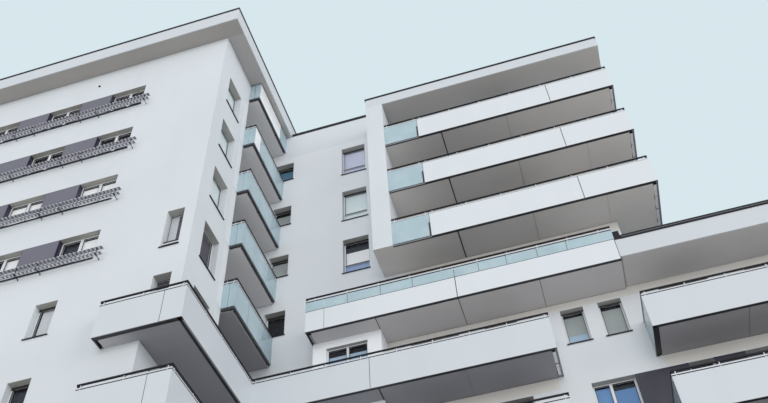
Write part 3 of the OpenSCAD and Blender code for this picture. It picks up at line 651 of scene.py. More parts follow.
@dataclass(frozen=True)
class Plan:
    """Main places of the building, in metres in the frame.

    The sizes with a default are measured from the tower's corner: the ribbons' last window, their
    pitch, windows and infill, the side window, the loggia's wall and near end, the long balconies'
    front and the main front wall. The upper storeys are those above the wing's roof.
    """

    corner: Vector
    left: float
    main_y: float
    back_y: float
    main_right: float
    wing_right: float
    base: float
    storey: float
    storeys: int = 11
    upper: int = 7
    head: float = 2.3
    ribbon_end: float = 3.35
    ribbon_pitch: float = 2.83
    ribbon_window: float = 1.50
    infill: float = 1.33
    side_start: float = 0.72
    loggia_wall: float = 1.3
    loggia_near: float = 2.5
    balcony_front: float = 4.18
    recess: float = 5.6

    @classmethod
    def read(cls) -> "Plan":
        """Read the places from the boxes of the CAD nodes.

        Returns:
            The plan.
        """
        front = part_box("tower_front_wall")
        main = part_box("main_front_wall")
        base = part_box("ground_slab")[1].z
        return cls(
            corner=Vector((front[1].x, front[0].y, 0.0)), left=front[0].x, main_y=main[0].y,
            back_y=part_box("back_wall")[1].y, main_right=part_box("main_right_wall")[1].x,
            wing_right=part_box("wing_end_wall")[1].x, base=base,
            storey=(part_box("roof_slabs")[1].z - base) / cls.storeys)

    def floor(self, level: int) -> float:
        """Height of a floor."""
        return self.base + level * self.storey

    def floors(self, first: int, end: int) -> tuple[float, ...]:
        """Heights of the floors from the first level up to, but without, the end level."""
        return tuple(self.floor(level) for level in range(first, end))

    def at(self, x: float, y: float) -> tuple[float, float]:
        """Turn a place measured from the tower's corner into a place in the frame."""
        return self.corner.x + x, self.corner.y + y


@dataclass(frozen=True)
class Cover:
    """A blind or curtain behind the panes, between shares of the unit's height and width."""

    cloth: Cloth
    low: float = 0.0
    high: float = 1.0
    left: float = 0.0
    right: float = 1.0
    folded: bool = False


HALF_WHITE = (Cover(Cloth.WHITE, 0.45),)
EVERYDAY = ((), HALF_WHITE, (), (Cover(Cloth.WHITE),), (Cover(Cloth.STEEL, 0.6),))
LOWERED = (Cover(Cloth.WHITE, 0.0, 0.93),)
OPENED = (Cover(Cloth.WHITE, 0.0, 0.93, 0.52),)


@dataclass(frozen=True)
class UnitKind:
    """One size of window or door unit.

    The unit's mullion stands at the share split of its width, and the light below its transom is
    as high as transom says, where either isn't 0. Its bars are slender times as thick as the usual
    ones, and the dark head is the height of a dark board before its head. Successive units have the
    covers in turn.
    """

    name: str
    width: float
    foot: float
    split: float = 0.0
    transom: float = 0.0
    deep: float = 0.20
    covers: tuple[tuple[Cover, ...], ...] = EVERYDAY
    bar: bool = False
    slender: float = 0.62
    dark_head: float = 0.0


class Unit(Enum):
    """The window and door units of the building."""

    RIBBON = UnitKind("ribbon_windows", 1.50, 0.93, split=0.5, slender=0.85,
                      covers=(OPENED, LOWERED, (), ()) * 2 + (LOWERED, OPENED, (), ()))
    SMALL = UnitKind("small_windows", 0.75, 0.93, deep=0.24, dark_head=0.10,
                     covers=((), (Cover(Cloth.WHITE, 0.0, 0.5, 0.45),),
                             (Cover(Cloth.PEARL, 0.0, 0.97, 0.12),), HALF_WHITE))
    # The taupe sheet paints the shaded back of the slim window's niche; the pearl sheet paints its lit left
    # wall.
    SLIM = UnitKind("slim_windows", 0.60, 0.60, deep=0.27, bar=True, slender=0.2,
                    covers=((Cover(Cloth.TAUPE),),
                            (Cover(Cloth.TAUPE, left=0.45), Cover(Cloth.PEARL, right=0.45))))
    # The taupe sheet paints the shade of a dark room behind one side window.
    SIDE = UnitKind("side_windows", 1.10, 0.60, transom=0.32, deep=0.24,
                    covers=((), (Cover(Cloth.TAUPE),)) + ((Cover(Cloth.MINT, 0.0, 0.96),),) * 3
                    + ((), HALF_WHITE) * 3)
    TALL = UnitKind("recess_windows", 1.03, 0.50, transom=0.54, deep=0.23, dark_head=0.08,
                    covers=((Cover(Cloth.AZURE, 0.0, 0.32), Cover(Cloth.WHITE, 0.34, 0.73)),
                            (Cover(Cloth.MINT, 0.0, 0.97),), (Cover(Cloth.LILAC, 0.0, 0.97),)))
    NARROW = UnitKind("narrow_windows", 0.80, 1.13, deep=0.26, dark_head=0.08,
                      covers=((), (Cover(Cloth.STEEL, 0.0, 0.9),), (Cover(Cloth.STEEL, 0.0, 0.8),),
                              (Cover(Cloth.PETROL, 0.0, 0.85),)))
    BACK = UnitKind("back_windows", 1.50, 0.93, split=0.5)
    # The mist curtains of the bay paint the sky's bluish reflection in its panes.
    BAY = UnitKind("bay_windows", 1.40, 0.93, split=0.5, deep=0.12,
                   covers=((Cover(Cloth.MIST, 0.0, 0.80, right=0.5), Cover(Cloth.MIST, 0.0, 0.80, 0.5)),))
    PAIR = UnitKind("wing_pair_windows", 0.725, 0.93, dark_head=0.05,
                    covers=((Cover(Cloth.STEEL, 0.34, 0.9), Cover(Cloth.MIST, 0.0, 0.34)),
                            (Cover(Cloth.STEEL, 0.0, 0.88),)))
    WIDE = UnitKind("wing_wide_windows", 1.25, 0.60, split=0.42,
                    covers=((Cover(Cloth.SKY, 0.0, 0.95, right=0.42),
                             Cover(Cloth.SKY, 0.0, 0.86, 0.42, folded=True)),))
    LIGHT = UnitKind("wing_light_windows", 0.71, 0.60, covers=((),))
    BROAD = UnitKind("wing_broad_windows", 1.43, 0.60, split=0.5, covers=((), (Cover(Cloth.STEEL, 0.5),)))
    TOWER_DOOR = UnitKind("tower_balcony_doors", 1.40, 0.0, split=0.55)
    FRONT_DOOR = UnitKind("front_balcony_doors", 1.60, 0.0, split=0.55)
    SIDE_DOOR = UnitKind("side_balcony_doors", 1.50, 0.0, split=0.55)
    WING_DOOR = UnitKind("wing_balcony_doors", 1.51, 0.0, split=0.55)
    SINGLE_DOOR = UnitKind("recess_doors", 1.03, 0.0)
    LOW_WINDOW = UnitKind("balcony_windows", 1.05, 0.60, transom=0.32)
    GROUND_WINDOW = UnitKind("ground_windows", 1.93, 0.60, split=0.5)


@dataclass(frozen=True)
class Place:
    """A spot, a turn about the vertical and a size along each of the turned axes.

    On a wall the spot is the middle of an opening's foot on the outer face.
    """

    spot: Vector
    turn: int = 0
    size: Vector = Vector((1.0, 1.0, 1.0))


class Facade:
    """Lists every opening of the building, wall by wall, as its walls have them."""

    SILL = 0.015
    SLIM_START = 0.98
    LOWER_WALL = 0.96
    BAY_FRONT = 0.75
    SIDE_PITCH = 3.6
    BACK_PITCH = 3.9

    def __init__(self, plan: Plan) -> None:
        """Fill the list of openings.

        Args:
            plan: The building's main places.
        """
        self.plan = plan
        self.places: dict[Unit, list[Place]] = {unit: [] for unit in Unit}
        self._front()
        self._main()
        self._sides()
        self._back()

    def _put(self, unit: Unit, turn: int, face: float, start: float, levels: Iterable[int]) -> None:
        """Add one opening on several storeys.

        Args:
            unit: What fills the opening.
            turn: Turn of the wall: 0 faces the street, 90 the wing's side, 180 the back, -90 the left.
            face: Place of the wall's outer face.
            start: Lower end of the opening along the wall.
            levels: The storeys.
        """
        kind = unit.value
        middle = start + kind.width / 2
        for level in levels:
            foot = self.plan.floor(level) + kind.foot + self.sill(kind)
            spot = (middle, face, foot) if turn in (0, 180) else (face, middle, foot)
            self.places[unit].append(Place(Vector(spot), turn))

    def _repeat(self, unit: Unit, turn: int, face: float, start: float, end: float, pitch: float,
                levels: Sequence[int]) -> None:
        """Add openings at a fixed pitch along a wall, as many as fit between its start and its end."""
        for index in range(int((end - start - unit.value.width) / pitch) + 1):
            self._put(unit, turn, face, start + index * pitch, levels)

    def sill(self, kind: UnitKind) -> float:
        """Height of the sill under a unit, where it has one."""
        return self.SILL if kind.foot else 0.0

    def height(self, kind: UnitKind) -> float:
        """Height of a unit up to its opening's head."""
        return self.plan.head - kind.foot - self.sill(kind)

    def _front(self) -> None:
        """List the tower's front wall and its side towards the recess."""
        p, corner = self.plan, self.plan.corner
        for index in range(3):
            start = corner.x - p.ribbon_end - p.ribbon_window - index * p.ribbon_pitch
            self._put(Unit.RIBBON, 0, corner.y, start, range(p.upper, p.storeys))
            self._put(Unit.SMALL, 0, corner.y, start, range(p.upper))
        self._put(Unit.SLIM, 0, corner.y, corner.x - self.SLIM_START, (6, 7))
        side, door = corner.y + p.side_start, corner.y + (p.loggia_near + p.recess) / 2 - 0.7
        self._put(Unit.SIDE, 90, corner.x, side, range(6, p.storeys))
        self._put(Unit.SIDE, 90, corner.x - self.LOWER_WALL, side, range(6))
        self._put(Unit.TOWER_DOOR, 90, corner.x - p.loggia_wall, door, range(6, p.storeys))
        self._put(Unit.TOWER_DOOR, 90, corner.x - self.LOWER_WALL, door, range(6))

    def _main(self) -> None:
        """List the main front wall, the bays and the wing."""
        p = self.plan
        upper, under_wing_roof = range(p.upper, p.storeys), (6,)
        for unit, starts, levels in (
                (Unit.NARROW, (0.10,), upper), (Unit.TALL, (3.10,), upper[1:]),
                (Unit.SINGLE_DOOR, (3.10,), upper[:1]), (Unit.FRONT_DOOR, (5.9, 9.2), upper),
                (Unit.GROUND_WINDOW, (2.47,), (0,)), (Unit.FRONT_DOOR, (5.40,), range(1, p.upper)),
                (Unit.LOW_WINDOW, (7.85,), range(p.upper)),
                (Unit.PAIR, (10.28, 11.47, 19.00), under_wing_roof),
                (Unit.WING_DOOR, (13.39, 16.00), under_wing_roof), (Unit.WIDE, (10.61,), range(6)),
                (Unit.LIGHT, (13.39,), range(6)), (Unit.BROAD, (14.97,), range(6)),
                (Unit.LIGHT, (17.30,), range(6))):
            for start in starts:
                self._put(unit, 0, p.main_y, p.corner.x + start, levels)
        bay_start, bay_width = 2.27, 2.33
        self._put(Unit.BAY, 0, p.main_y - self.BAY_FRONT,
                  p.corner.x + bay_start + (bay_width - Unit.BAY.value.width) / 2, range(1, p.upper))

    def _sides(self) -> None:
        """List the left wall and the upper main block's right wall."""
        p, end = self.plan, self.plan.back_y - self.plan.side_start
        upper = range(p.upper, p.storeys)
        self._repeat(Unit.SIDE, -90, p.left, p.corner.y + p.side_start, end, self.SIDE_PITCH,
                     range(p.storeys))
        self._put(Unit.SIDE_DOOR, 90, p.main_right, p.main_y + 1.0, upper)
        self._repeat(Unit.SIDE, 90, p.main_right, p.main_y + 3.4 + 0.7, end, self.SIDE_PITCH, upper)

    def _back(self) -> None:
        """List the back wall."""
        p = self.plan
        for level in range(p.storeys):
            end = p.wing_right if level < p.upper else p.main_right
            self._repeat(Unit.BACK, 180, p.back_y, p.left + 1.6, end - 0.7, self.BACK_PITCH, (level,))


# Repeated pieces by geometry nodes

class NodeShape(Sketch):
    """A geometry node tree with named inputs, run once on a mesh of places."""

    def __init__(self, name: str) -> None:
        """Make the empty tree.

        Args:
            name: The tree's name.
        """
        tree = bpy.data.node_groups.new(name, "GeometryNodeTree")
        super().__init__(tree)
        for way in ("INPUT", "OUTPUT"):
            tree.interface.new_socket("Geometry", in_out=way, socket_type="NodeSocketGeometry")
        self.name = name
        self.entry = self.add("NodeGroupInput")
        self.exit = self.add("NodeGroupOutput")
        self._values: dict[str, object] = {}

    def number(self, name: str, value: float) -> Number:
        """Add a named size with its value on the modifier."""
        return Number(self, self._input(name, "NodeSocketFloat", float(value)))

    def _input(self, name: str, kind: str, value: object) -> Socket:
        """Add a named input.

        Args:
            name: Name of the input.
            kind: Type of its socket.
            value: Its value on the modifier.

        Returns:
            The input's socket inside the tree.
        """
        item = self.tree.interface.new_socket(name, in_out="INPUT", socket_type=kind)
        self._values[item.identifier] = value
        return self.entry.outputs[name]

    def bar(self, size: Sequence[object], at: Sequence[object]) -> Socket:
        """Add a box.

        Args:
            size: Its length along each axis.
            at: Its middle.

        Returns:
            The box's geometry.
        """
        cube = self.add("GeometryNodeMeshCube")
        self.wire(self.vector(size), cube.inputs["Size"])
        move = self.add("GeometryNodeTransform")
        self.wire(cube.outputs["Mesh"], move.inputs["Geometry"])
        self.wire(self.vector(at), move.inputs["Translation"])
        return move.outputs["Geometry"]

    def vector(self, parts: Sequence[object]) -> Socket:
        """Join three numbers to a vector.

        Args:
            parts: The numbers along X, Y and Z.

        Returns:
            The vector.
        """
        node = self.add("ShaderNodeCombineXYZ")
        for value, target in zip(parts, node.inputs):
            self.wire(value, target)
        return node.outputs["Vector"]

    def join(self, parts: Iterable[Socket]) -> Socket:
        """Join geometry.

        Args:
            parts: The geometry to join.

        Returns:
            The joined geometry.
        """
        node = self.add("GeometryNodeJoinGeometry")
        for part in parts:
            self.tree.links.new(part, node.inputs[0])
        return node.outputs[0]

    def painted(self, parts: Iterable[Socket], name: str, finish: Material) -> Socket:
        """Join geometry and give it a material.

        Args:
            parts: The geometry to join.
            name: Name of the material's input.
            finish: The material.

        Returns:
            The joined geometry.
        """
        paint = self.add("GeometryNodeSetMaterial")
        self.wire(self.join(parts), paint.inputs["Geometry"])
        self.wire(self._input(name, "NodeSocketMaterial", finish), paint.inputs["Material"])
        return paint.outputs["Geometry"]

    def copies(self, points: Socket, shape: Socket) -> bpy.types.Node:
        """Add the node that puts a copy of a shape on each point.

        Args:
            points: The points.
            shape: The geometry that is repeated.

        Returns:
            The node.
        """
        node = self.add("GeometryNodeInstanceOnPoints")
        self.wire(points, node.inputs["Points"])
        self.wire(shape, node.inputs["Instance"])
        return node

    def at_places(self, shape: Socket) -> Socket:
        """Put a copy of a shape on each place, turned and sized by the place.

        Args:
            shape: The geometry that is repeated.

        Returns:
            The copies as instances.
        """
        copies = self.copies(self.entry.outputs["Geometry"], shape)
        self.wire(self.vector((0.0, 0.0, self.attribute("turn", "FLOAT"))), copies.inputs["Rotation"])
        self.wire(self.attribute("size", "FLOAT_VECTOR"), copies.inputs["Scale"])
        return copies.outputs["Instances"]

    def attribute(self, name: str, kind: str) -> Socket:
        """Read a named attribute of the places.

        Args:
            name: Its name.
            kind: Its data type.

        Returns:
            Its socket.
        """
        node = self.add("GeometryNodeInputNamedAttribute", data_type=kind)
        node.inputs["Name"].default_value = name
        return node.outputs["Attribute"]

    def row(self, shape: Socket, count: int, start: object, pitch: object) -> Socket:
        """Repeat a shape along X.

        Args:
            shape: The geometry that is repeated.
            count: How many copies.
            start: Place of the first copy.
            pitch: Distance between two copies.

        Returns:
            The copies as instances.
        """
        line = self.add("GeometryNodeMeshLine")
        self.wire(count, line.inputs["Count"])
        self.wire(self.vector((start, 0.0, 0.0)), line.inputs["Start Location"])
        self.wire(self.vector((pitch, 0.0, 0.0)), line.inputs["Offset"])
        return self.copies(line.outputs["Mesh"], shape).outputs["Instances"]

    def run(self, places: Sequence[Place], *shapes: Socket) -> bpy.types.Object:
        """Realize the tree on a mesh of places.

        Args:
            places: Where the shapes are repeated.
            shapes: The painted shapes that make up the piece.

        Returns:
            The finished piece, a plain mesh.
        """
        real = self.add("GeometryNodeRealizeInstances")
        self.wire(self.join(self.at_places(shape) for shape in shapes), real.inputs["Geometry"])
        self.wire(real.outputs["Geometry"], self.exit.inputs["Geometry"])
        mesh = bpy.data.meshes.new(self.name)
        mesh.from_pydata([place.spot for place in places], [], [])
        turns = mesh.attributes.new("turn", "FLOAT", "POINT")
        turns.data.foreach_set("value", [math.radians(place.turn) for place in places])
        sizes = mesh.attributes.new("size", "FLOAT_VECTOR", "POINT")
        sizes.data.foreach_set("vector", [part for place in places for part in place.size])
        piece = add_object(self.name, mesh)
        modifier = piece.modifiers.new(self.name, "NODES")
        modifier.node_group = self.tree
        for identifier, value in self._values.items():
            modifier[identifier] = value
        shown = piece.evaluated_get(bpy.context.evaluated_depsgraph_get())
        made = bpy.data.meshes.new_from_object(shown)
        piece.modifiers.remove(modifier)
        piece.data = made
        return piece


@dataclass
class WindowUnits:
    """Frames, sashes, panes and seals of every window and door, with blinds and curtains behind, and a dark
    sheet of painted room shade behind those.
    """

    facade: Facade
    palette: Palette
    profile: float = 0.048
    depth: float = 0.070
    sash: float = 0.034
    sash_out: float = 0.012
    seal: float = 0.016
    pane: float = 0.024
    cloth_behind: float = 0.010
    cloth: float = 0.006
    fold: float = 0.07
    room_shade_behind: float = 0.050
    bead: float = 0.3
    strip: float = 0.034
    strip_thick: float = 0.006
    dark_head_thick: float = 0.008
    rod_at: float = 0.13
    rod_deep: float = 0.03

    def build(self) -> None:
        """Build one piece for each kind of unit, and one for each of its cloths."""
        for unit, places in self.facade.places.items():
            keep(self._units(unit.value, places), "panel", "window_glazing")
            self._covers(unit.value, places)

    def _units(self, kind: UnitKind, places: Sequence[Place]) -> bpy.types.Object:
        """Build the frames and panes of one kind.

        Args:
            kind: Sizes of the unit.
            places: Where it stands.

        Returns:
            The piece.
        """
        n = NodeShape(kind.name)
        width = n.number("Width", kind.width)
        height = n.number("Height", self.facade.height(kind))
        profile = n.number("Profile", self.profile * kind.slender)
        depth = n.number("Depth", self.depth)
        sash = n.number("Sash", self.sash * kind.slender)
        out = n.number("Sash step", self.sash_out)
        pane = n.number("Pane", self.pane)
        seal = n.number("Seal", self.seal * min(1.0, 1.5 * kind.slender))
        y = n.number("Set back", kind.deep) + depth / 2
        face = y - depth / 2 - out
        half = width / 2 - profile / 2
        inner = width - profile * 2.0
        bars = [n.bar((profile, depth, height), (half * side, y, height / 2)) for side in (-1.0, 1.0)]
        bars += [n.bar((inner, depth, profile), (0.0, y, level))
                 for level in (profile / 2, height - profile / 2)]
        foot, top = profile, height - profile
        panes, seals = [], []
        if kind.transom:
            low = n.number("Lower light", kind.transom)
            bars.append(n.bar((inner, depth, profile), (0.0, y, low + profile * 1.5)))
            seals.append(n.bar((inner, self.strip_thick, self.strip),
                               (0.0, face - self.strip_thick / 2, low + profile * 1.5)))
            panes.append(n.bar((inner, pane, low), (0.0, y, profile + low / 2)))
            foot = low + profile * 2.0
        edges = [width * -0.5 + profile, width * 0.5 - profile]
        if kind.split:
            middle = width * (n.number("Split", kind.split) - 0.5)
            bars.append(n.bar((profile * 1.3, depth, top - foot), (middle, y, (top + foot) / 2)))
            edges[1:1] = [middle - profile * 0.65, middle + profile * 0.65]
        for left, right in zip(edges[::2], edges[1::2]):
            at, light, tall, level = (left + right) / 2, right - left, top - foot, (top + foot) / 2
            front = y - out
            bars += [n.bar((sash, depth, tall), (at + (light - sash) / 2 * side, front, level))
                     for side in (-1.0, 1.0)]
            bars += [n.bar((light - sash * 2.0, depth, sash), (at, front, level + (tall - sash) / 2 * side))
                     for side in (-1.0, 1.0)]
            clear, open_h = light - sash * 2.0, tall - sash * 2.0
            panes.append(n.bar((clear, pane, open_h), (at, front, level)))
            bead, deep = front - depth * self.bead, depth * self.bead
            seals += [n.bar((seal, deep, open_h), (at + (clear - seal) / 2 * side, bead, level))
                      for side in (-1.0, 1.0)]
            seals.append(n.bar((clear, deep, seal), (at, bead, level + (open_h - seal) / 2)))
        if kind.dark_head:
            dark_head = n.number("Hood", kind.dark_head)
            seals.append(n.bar((width, self.dark_head_thick, dark_head),
                               (0.0, face - self.dark_head_thick / 2, height - dark_head / 2)))
        if kind.bar:
            for found, tall, level in ((seals, 0.065, 0.31), (bars, 0.045, 0.245), (seals, 0.02, 0.19)):
                found.append(n.bar((width, self.rod_deep, tall), (0.0, self.rod_at, level)))
        return n.run(places, n.painted(bars, "Frame finish", self.palette[FRAME_WHITE]),
                     n.painted(panes, "Pane finish", self.palette[WINDOW_GLASS]),
                     n.painted(seals, "Seal finish", self.palette[SEAL_AND_SHADE_BLACK]))

    def _covers(self, kind: UnitKind, places: Sequence[Place]) -> None:
        """Hang the blinds and curtains of one kind, and a dark sheet behind every unit that paints the shade
        of the room.

        Args:
            kind: Sizes of the unit.
            places: Where it stands.
        """
        rim = 2 * self.profile * kind.slender
        width, tall = kind.width - rim, self.facade.height(kind) - rim
        hung: dict[tuple[Cloth, bool], list[Place]] = {}
        for index, place in enumerate(places):
            # The last sheet of every unit paints the room's shade.
            for cover in (*kind.covers[index % len(kind.covers)], Cover(Cloth.NIGHT)):
                middle = ((cover.left + cover.right) / 2 - 0.5) * width
                step = Vector((middle, 0.0, rim / 2 + cover.low * tall))
                step.rotate(turned(place.turn))
                size = Vector((cover.right - cover.left, 1.0, cover.high - cover.low))
                sheets = hung.setdefault((cover.cloth, cover.folded), [])
                sheets.append(Place(place.spot + step, place.turn, size))
        for (cloth, folded), sheets in hung.items():
            keep(self._cloth(kind, cloth, folded, sheets, (width, tall)), "panel")

    def _cloth(self, kind: UnitKind, cloth: Cloth, folded: bool, places: Sequence[Place],
               size: Span) -> bpy.types.Object:
        """Build the sheets of one cloth.

        Args:
            kind: Sizes of the unit.
            cloth: The cloth.
            folded: Whether it hangs in folds.
            places: Where a sheet hangs, each sized by its shares of the unit.
            size: Width and height of the unit's glazing.

        Returns:
            The piece.
        """
        woven = cloth.value
        n = NodeShape(kind.name.replace("windows", woven.name).replace("doors", "door_" + woven.name))
        width, tall = n.number("Width", size[0]), n.number("Height", size[1])
        behind = self.room_shade_behind if cloth is Cloth.NIGHT else self.cloth_behind
        back = n.number("Set back", kind.deep + self.depth / 2 + self.pane / 2 + behind)
        if folded:
            folds = int(size[0] / self.fold)
            pitch = n.number("Fold", size[0] / folds)
            ridge = n.bar((pitch * 0.62, 0.010, tall), (0.0, back, tall / 2))
            valley = n.bar((pitch * 0.40, 0.010, tall), (pitch / 2, back + 0.012, tall / 2))
            start = n.number("Start", (size[0] / folds - size[0]) / 2)
            parts = [n.row(n.join([ridge, valley]), folds, start, pitch)]
        else:
            thick, hem = n.number("Cloth", self.cloth), 0.02
            parts = [n.bar((width, thick, tall), (0.0, back, tall / 2)),
                     n.bar((width, thick * 2.5, hem), (0.0, back, hem / 2))]
        return n.run(places, n.painted(parts, "Cloth finish", self.palette[woven]))


# Balconies

def spread(start: float, end: float, pitch: float) -> list[float]:
    """Spread places evenly from start to end, no further apart than pitch."""
    bays = math.ceil(round((end - start) / pitch, 6))
    return [start + index * (end - start) / bays for index in range(bays + 1)]


@dataclass(frozen=True)
class Run:
    """A stretch of balcony front, drawn along +X with its face on Y = 0, then turned and moved.

    The places are measured from the tower's corner, and the levels are floor heights in the frame.
    The slot is the gap from the panels' back to the slab, where it is closed from below with painted
    shade, the lip is how far the panels' foot is turned in, and the seal is the width of the black
    strip of painted shade behind it.
    """

    turn: int
    x: float
    y: float
    length: float
    levels: tuple[float, ...]
    foot: float = -0.17
    glass: bool = False
    posts: tuple[float, ...] = ()
    slot: float = 0.0
    lip: float = 0.008
    seal: float = 0.100

    @property
    def stands(self) -> tuple[float, ...]:
        """Places of the posts along the run."""
        return self.posts or tuple(spread(0.12, self.length - 0.12, 1.30))

    def spot(self, plan: Plan, along: float, across: float, level: float) -> Vector:
        """Give the place of a point that lies along the run and across, behind its face, at a level."""
        step = turned(self.turn) @ Vector((along, across, 0.0))
        return Vector((*plan.at(self.x + step.x, self.y + step.y), level))

    def block(self, plan: Plan, along: Span, across: Span, up: Span) -> Block:
        """Give a box of the run, from its extents along it, behind its face and in height."""
        return Block.between(*(self.spot(plan, *corner) for corner in zip(along, across, up)))

    def bands(self, plan: Plan, along: Span, across: Span, up: Span) -> list[Block]:
        """Give the same box on every level of the run, with its heights measured from the floor."""
        return [self.block(plan, along, across, (level + up[0], level + up[1])) for level in self.levels]

    def cut(self, *levels: float) -> "Run":
        """Give the same run on some of its levels alone."""
        return replace(self, levels=tuple(levels))


class BalconyRuns:
    """Every stretch of panels, glass and rails of the building."""

    PANEL_TOP = 0.97
    RAIL_FOOT = 1.13
    TOP_PANES = 1.02
    SLOT = 0.08

    def __init__(self, plan: Plan) -> None:
        """List the stretches.

        Args:
            plan: The building's main places.
        """
        upper, lower = plan.floors(plan.upper + 1, plan.storeys), plan.floors(1, plan.upper)
        self.top_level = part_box("tower_cornice")[0].z - 0.01 - self.TOP_PANES
        side, terrace = (*plan.floors(plan.upper, plan.storeys), self.top_level), (plan.floor(plan.upper),)
        front, slot = plan.balcony_front, self.SLOT
        end, back, deep = front + 0.015, plan.recess - 0.003, 1.402
        self.upper = (Run(0, 5.373, front, 1.377, upper, glass=True, slot=slot),
                      Run(0, 6.76, front, 7.70, upper, slot=slot), Run(90, 14.46, end, 4.805, upper))
        self.corner = (Run(0, -2.14, -0.52, 2.68, lower, slot=0.12, lip=0.020, seal=0.13),
                       Run(-90, -2.14, -0.003, 0.502, lower),
                       Run(90, 0.54, -0.505, 4.682, lower, slot=0.12, lip=0.050, seal=0.09),
                       Run(0, 0.528, front, 9.382, lower, slot=slot), Run(90, 9.91, end, deep, lower))
        self.wing = (Run(0, 12.62, front, 5.98, lower, slot=slot),
                     Run(-90, 12.62, back, deep, lower, glass=True, slot=0.16),
                     Run(90, 18.60, end, deep, lower, glass=True))
        self.loggia = (Run(0, 0.003, 2.485, 0.477, side, foot=-0.08, glass=True),
                       Run(90, 0.48, plan.loggia_near, 3.097, side, foot=-0.08, glass=True))
        posts = (0.325, *spread(1.46, 4.69, 1.1), *spread(5.90, 9.84, 1.1))
        self.terrace = (Run(0, 2.23, front, 10.237, terrace, foot=-0.30, posts=posts, slot=slot),
                        Run(-90, 2.23, back, deep, terrace, foot=-0.30))

    @property
    def all(self) -> tuple[Run, ...]:
        """Every stretch."""
        return self.upper + self.corner + self.wing + self.loggia + self.terrace


@dataclass(frozen=True)
class BalconyFittings:
    """Trims, returned feet, slots closed with painted shade, joints and rail clamps of the balconies."""

    plan: Plan
    palette: Palette
    runs: BalconyRuns
    line: float = 0.034
    thin_line: float = 0.012
    glass_line: float = 0.044
    top_line: float = 0.010
    line_deep: float = 0.016
    cap: float = 0.040
    cap_deep: float = 0.022
    bar: float = 0.040
    thin_bar: float = 0.012
    strip: float = 0.018
    upstand: float = 0.55
    proud: float = 0.001
    sheet: float = 0.006
    drip: float = 0.005
    end_gap: float = 0.02
    cover: Span = (-0.178, -0.170)
    painted_light_strip: Span = (-0.169, -0.163)
    pane_joint: float = 0.014
    clamp: float = 0.024

    def build(self) -> None:
        """Build the trims, the returned feet, the slots' covers, the joints and the clamps."""
        self._trims()
        self._feet()
        self._singles()
        self._slots()
        self._joints()
        self._clamps()

    def _trims(self) -> None:
        """Lay a dark line and a pale cap on every panel and pane, and a bar under the rails over them."""
        plan, top, rail = self.plan, self.runs.PANEL_TOP, self.runs.RAIL_FOOT
        lines, caps, bars = [], [], []
        for run in self.runs.all:
            whole, terrace = (0.0, run.length), run in self.runs.terrace
            line = self.glass_line if terrace else self.thin_line if run in self.runs.upper else self.line
            bar = self.bar if run.turn else self.thin_bar
            capped = run.cut(*(level for level in run.levels if level != self.runs.top_level))
            bare = run.cut(*(level for level in run.levels if level == self.runs.top_level))
            face = (-self.proud, self.line_deep)
            lines += bare.bands(plan, whole, face, (top, top + self.top_line))
            lines += capped.bands(plan, whole, face, (top, top + line))
            caps += capped.bands(plan, whole, (0.0, self.cap_deep), (top + line, top + line + self.cap))
            bars += capped.bands(plan, whole, (0.006, 0.040), (rail - bar, rail))
            if run.glass or terrace:
                low = self.upstand if terrace else run.foot
                lines += run.bands(plan, whole, (-2 * self.proud, 0.0), (low, low + self.strip))
        keep_blocks("panel_lines", lines, self.palette[RAIL_METAL], "dark_metal")
        keep_blocks("panel_caps", caps, self.palette[CAP_METAL], "blade")
        keep_blocks("under_rails", bars, self.palette[RAIL_METAL], "dark_metal")

    def _feet(self) -> None:
        """Return the panels' feet as drip edges, and close the feet of the boards at two ends, with pale
        strips of painted light between the covers.
        """
        plan = self.plan
        edges, covers, strips = [], [], []
        for run in self.runs.all:
            # The drip edges take a darker grey than the boards: painted shade at the panels' foot.
            if not run.glass:
                edges += run.bands(plan, (0.0, run.length), (0.0, run.lip), (run.foot - self.drip, run.foot))
        keep_blocks("panel_drip_edges", edges, self.palette[EDGE_SHADE_GREY], "panel")
        for run in (self.runs.upper[2], self.runs.corner[4]):
            inner = (self.end_gap, run.length - self.end_gap)
            covers += run.bands(plan, inner, (0.014, 0.060), self.cover)
            # Painted light: pale strips for the lit inner faces seen through the slit at the end panels.
            for along in spread(0.1, run.length - 0.7, 0.66):
                strips += run.bands(plan, (along + 0.06, along + 0.60), (0.062, 0.150), self.painted_light_strip)
        keep_blocks("foot_covers", covers, self.palette[TRIM_METAL], "blade")
        keep_blocks("slot_strips", strips, self.palette[FROSTED_AND_LIT], "panel")

    def _singles(self) -> None:
        """Trim the single glass panel of the upper balconies, and frost two panes of the loggia."""
        plan, glass, side = self.plan, self.runs.upper[0], self.runs.loggia[1]
        end = glass.length
        keep_blocks("glass_foot_strips", glass.bands(plan, (0.0, end), (0.020, 0.034), (-0.192, -0.172)),
                    self.palette[CAP_METAL], "blade")
        keep_blocks("glass_end_strips", glass.bands(plan, (end - 0.05, end), (-0.004, 0.0), (-0.17, 0.52)),
                    self.palette[SEAL_AND_SHADE_BLACK], "dark_metal")
        panes = [block for level, share in ((self.runs.top_level, 0.75), (plan.floor(10), 0.17))
                 for block in side.cut(level).bands(plan, (self.end_gap, share * side.length),
                                                    (-0.004, -self.proud), (-0.06, 0.965))]
        keep_blocks("frosted_panes", panes, self.palette[FROSTED_AND_LIT], "panel")

    def _slots(self) -> None:
        """Close the slots behind the long panels with black sheets and hang a black strip at their foot, both
        painted shade of the gap.
        """
        blocks = []
        for run in self.runs.all:
            if run.slot:
                low, inner = run.foot, (self.end_gap, run.length - self.end_gap)
                blocks += run.bands(self.plan, inner, (run.lip, run.slot + 0.014),
                                    (low + 2 * self.proud, low + 2 * self.proud + self.sheet))
                blocks += run.bands(self.plan, (0.0, run.length), (run.lip, run.lip + run.seal),
                                    (low - self.sheet, low))
        keep_blocks("slot_covers", blocks, self.palette[SEAL_AND_SHADE_BLACK], "dark_metal")

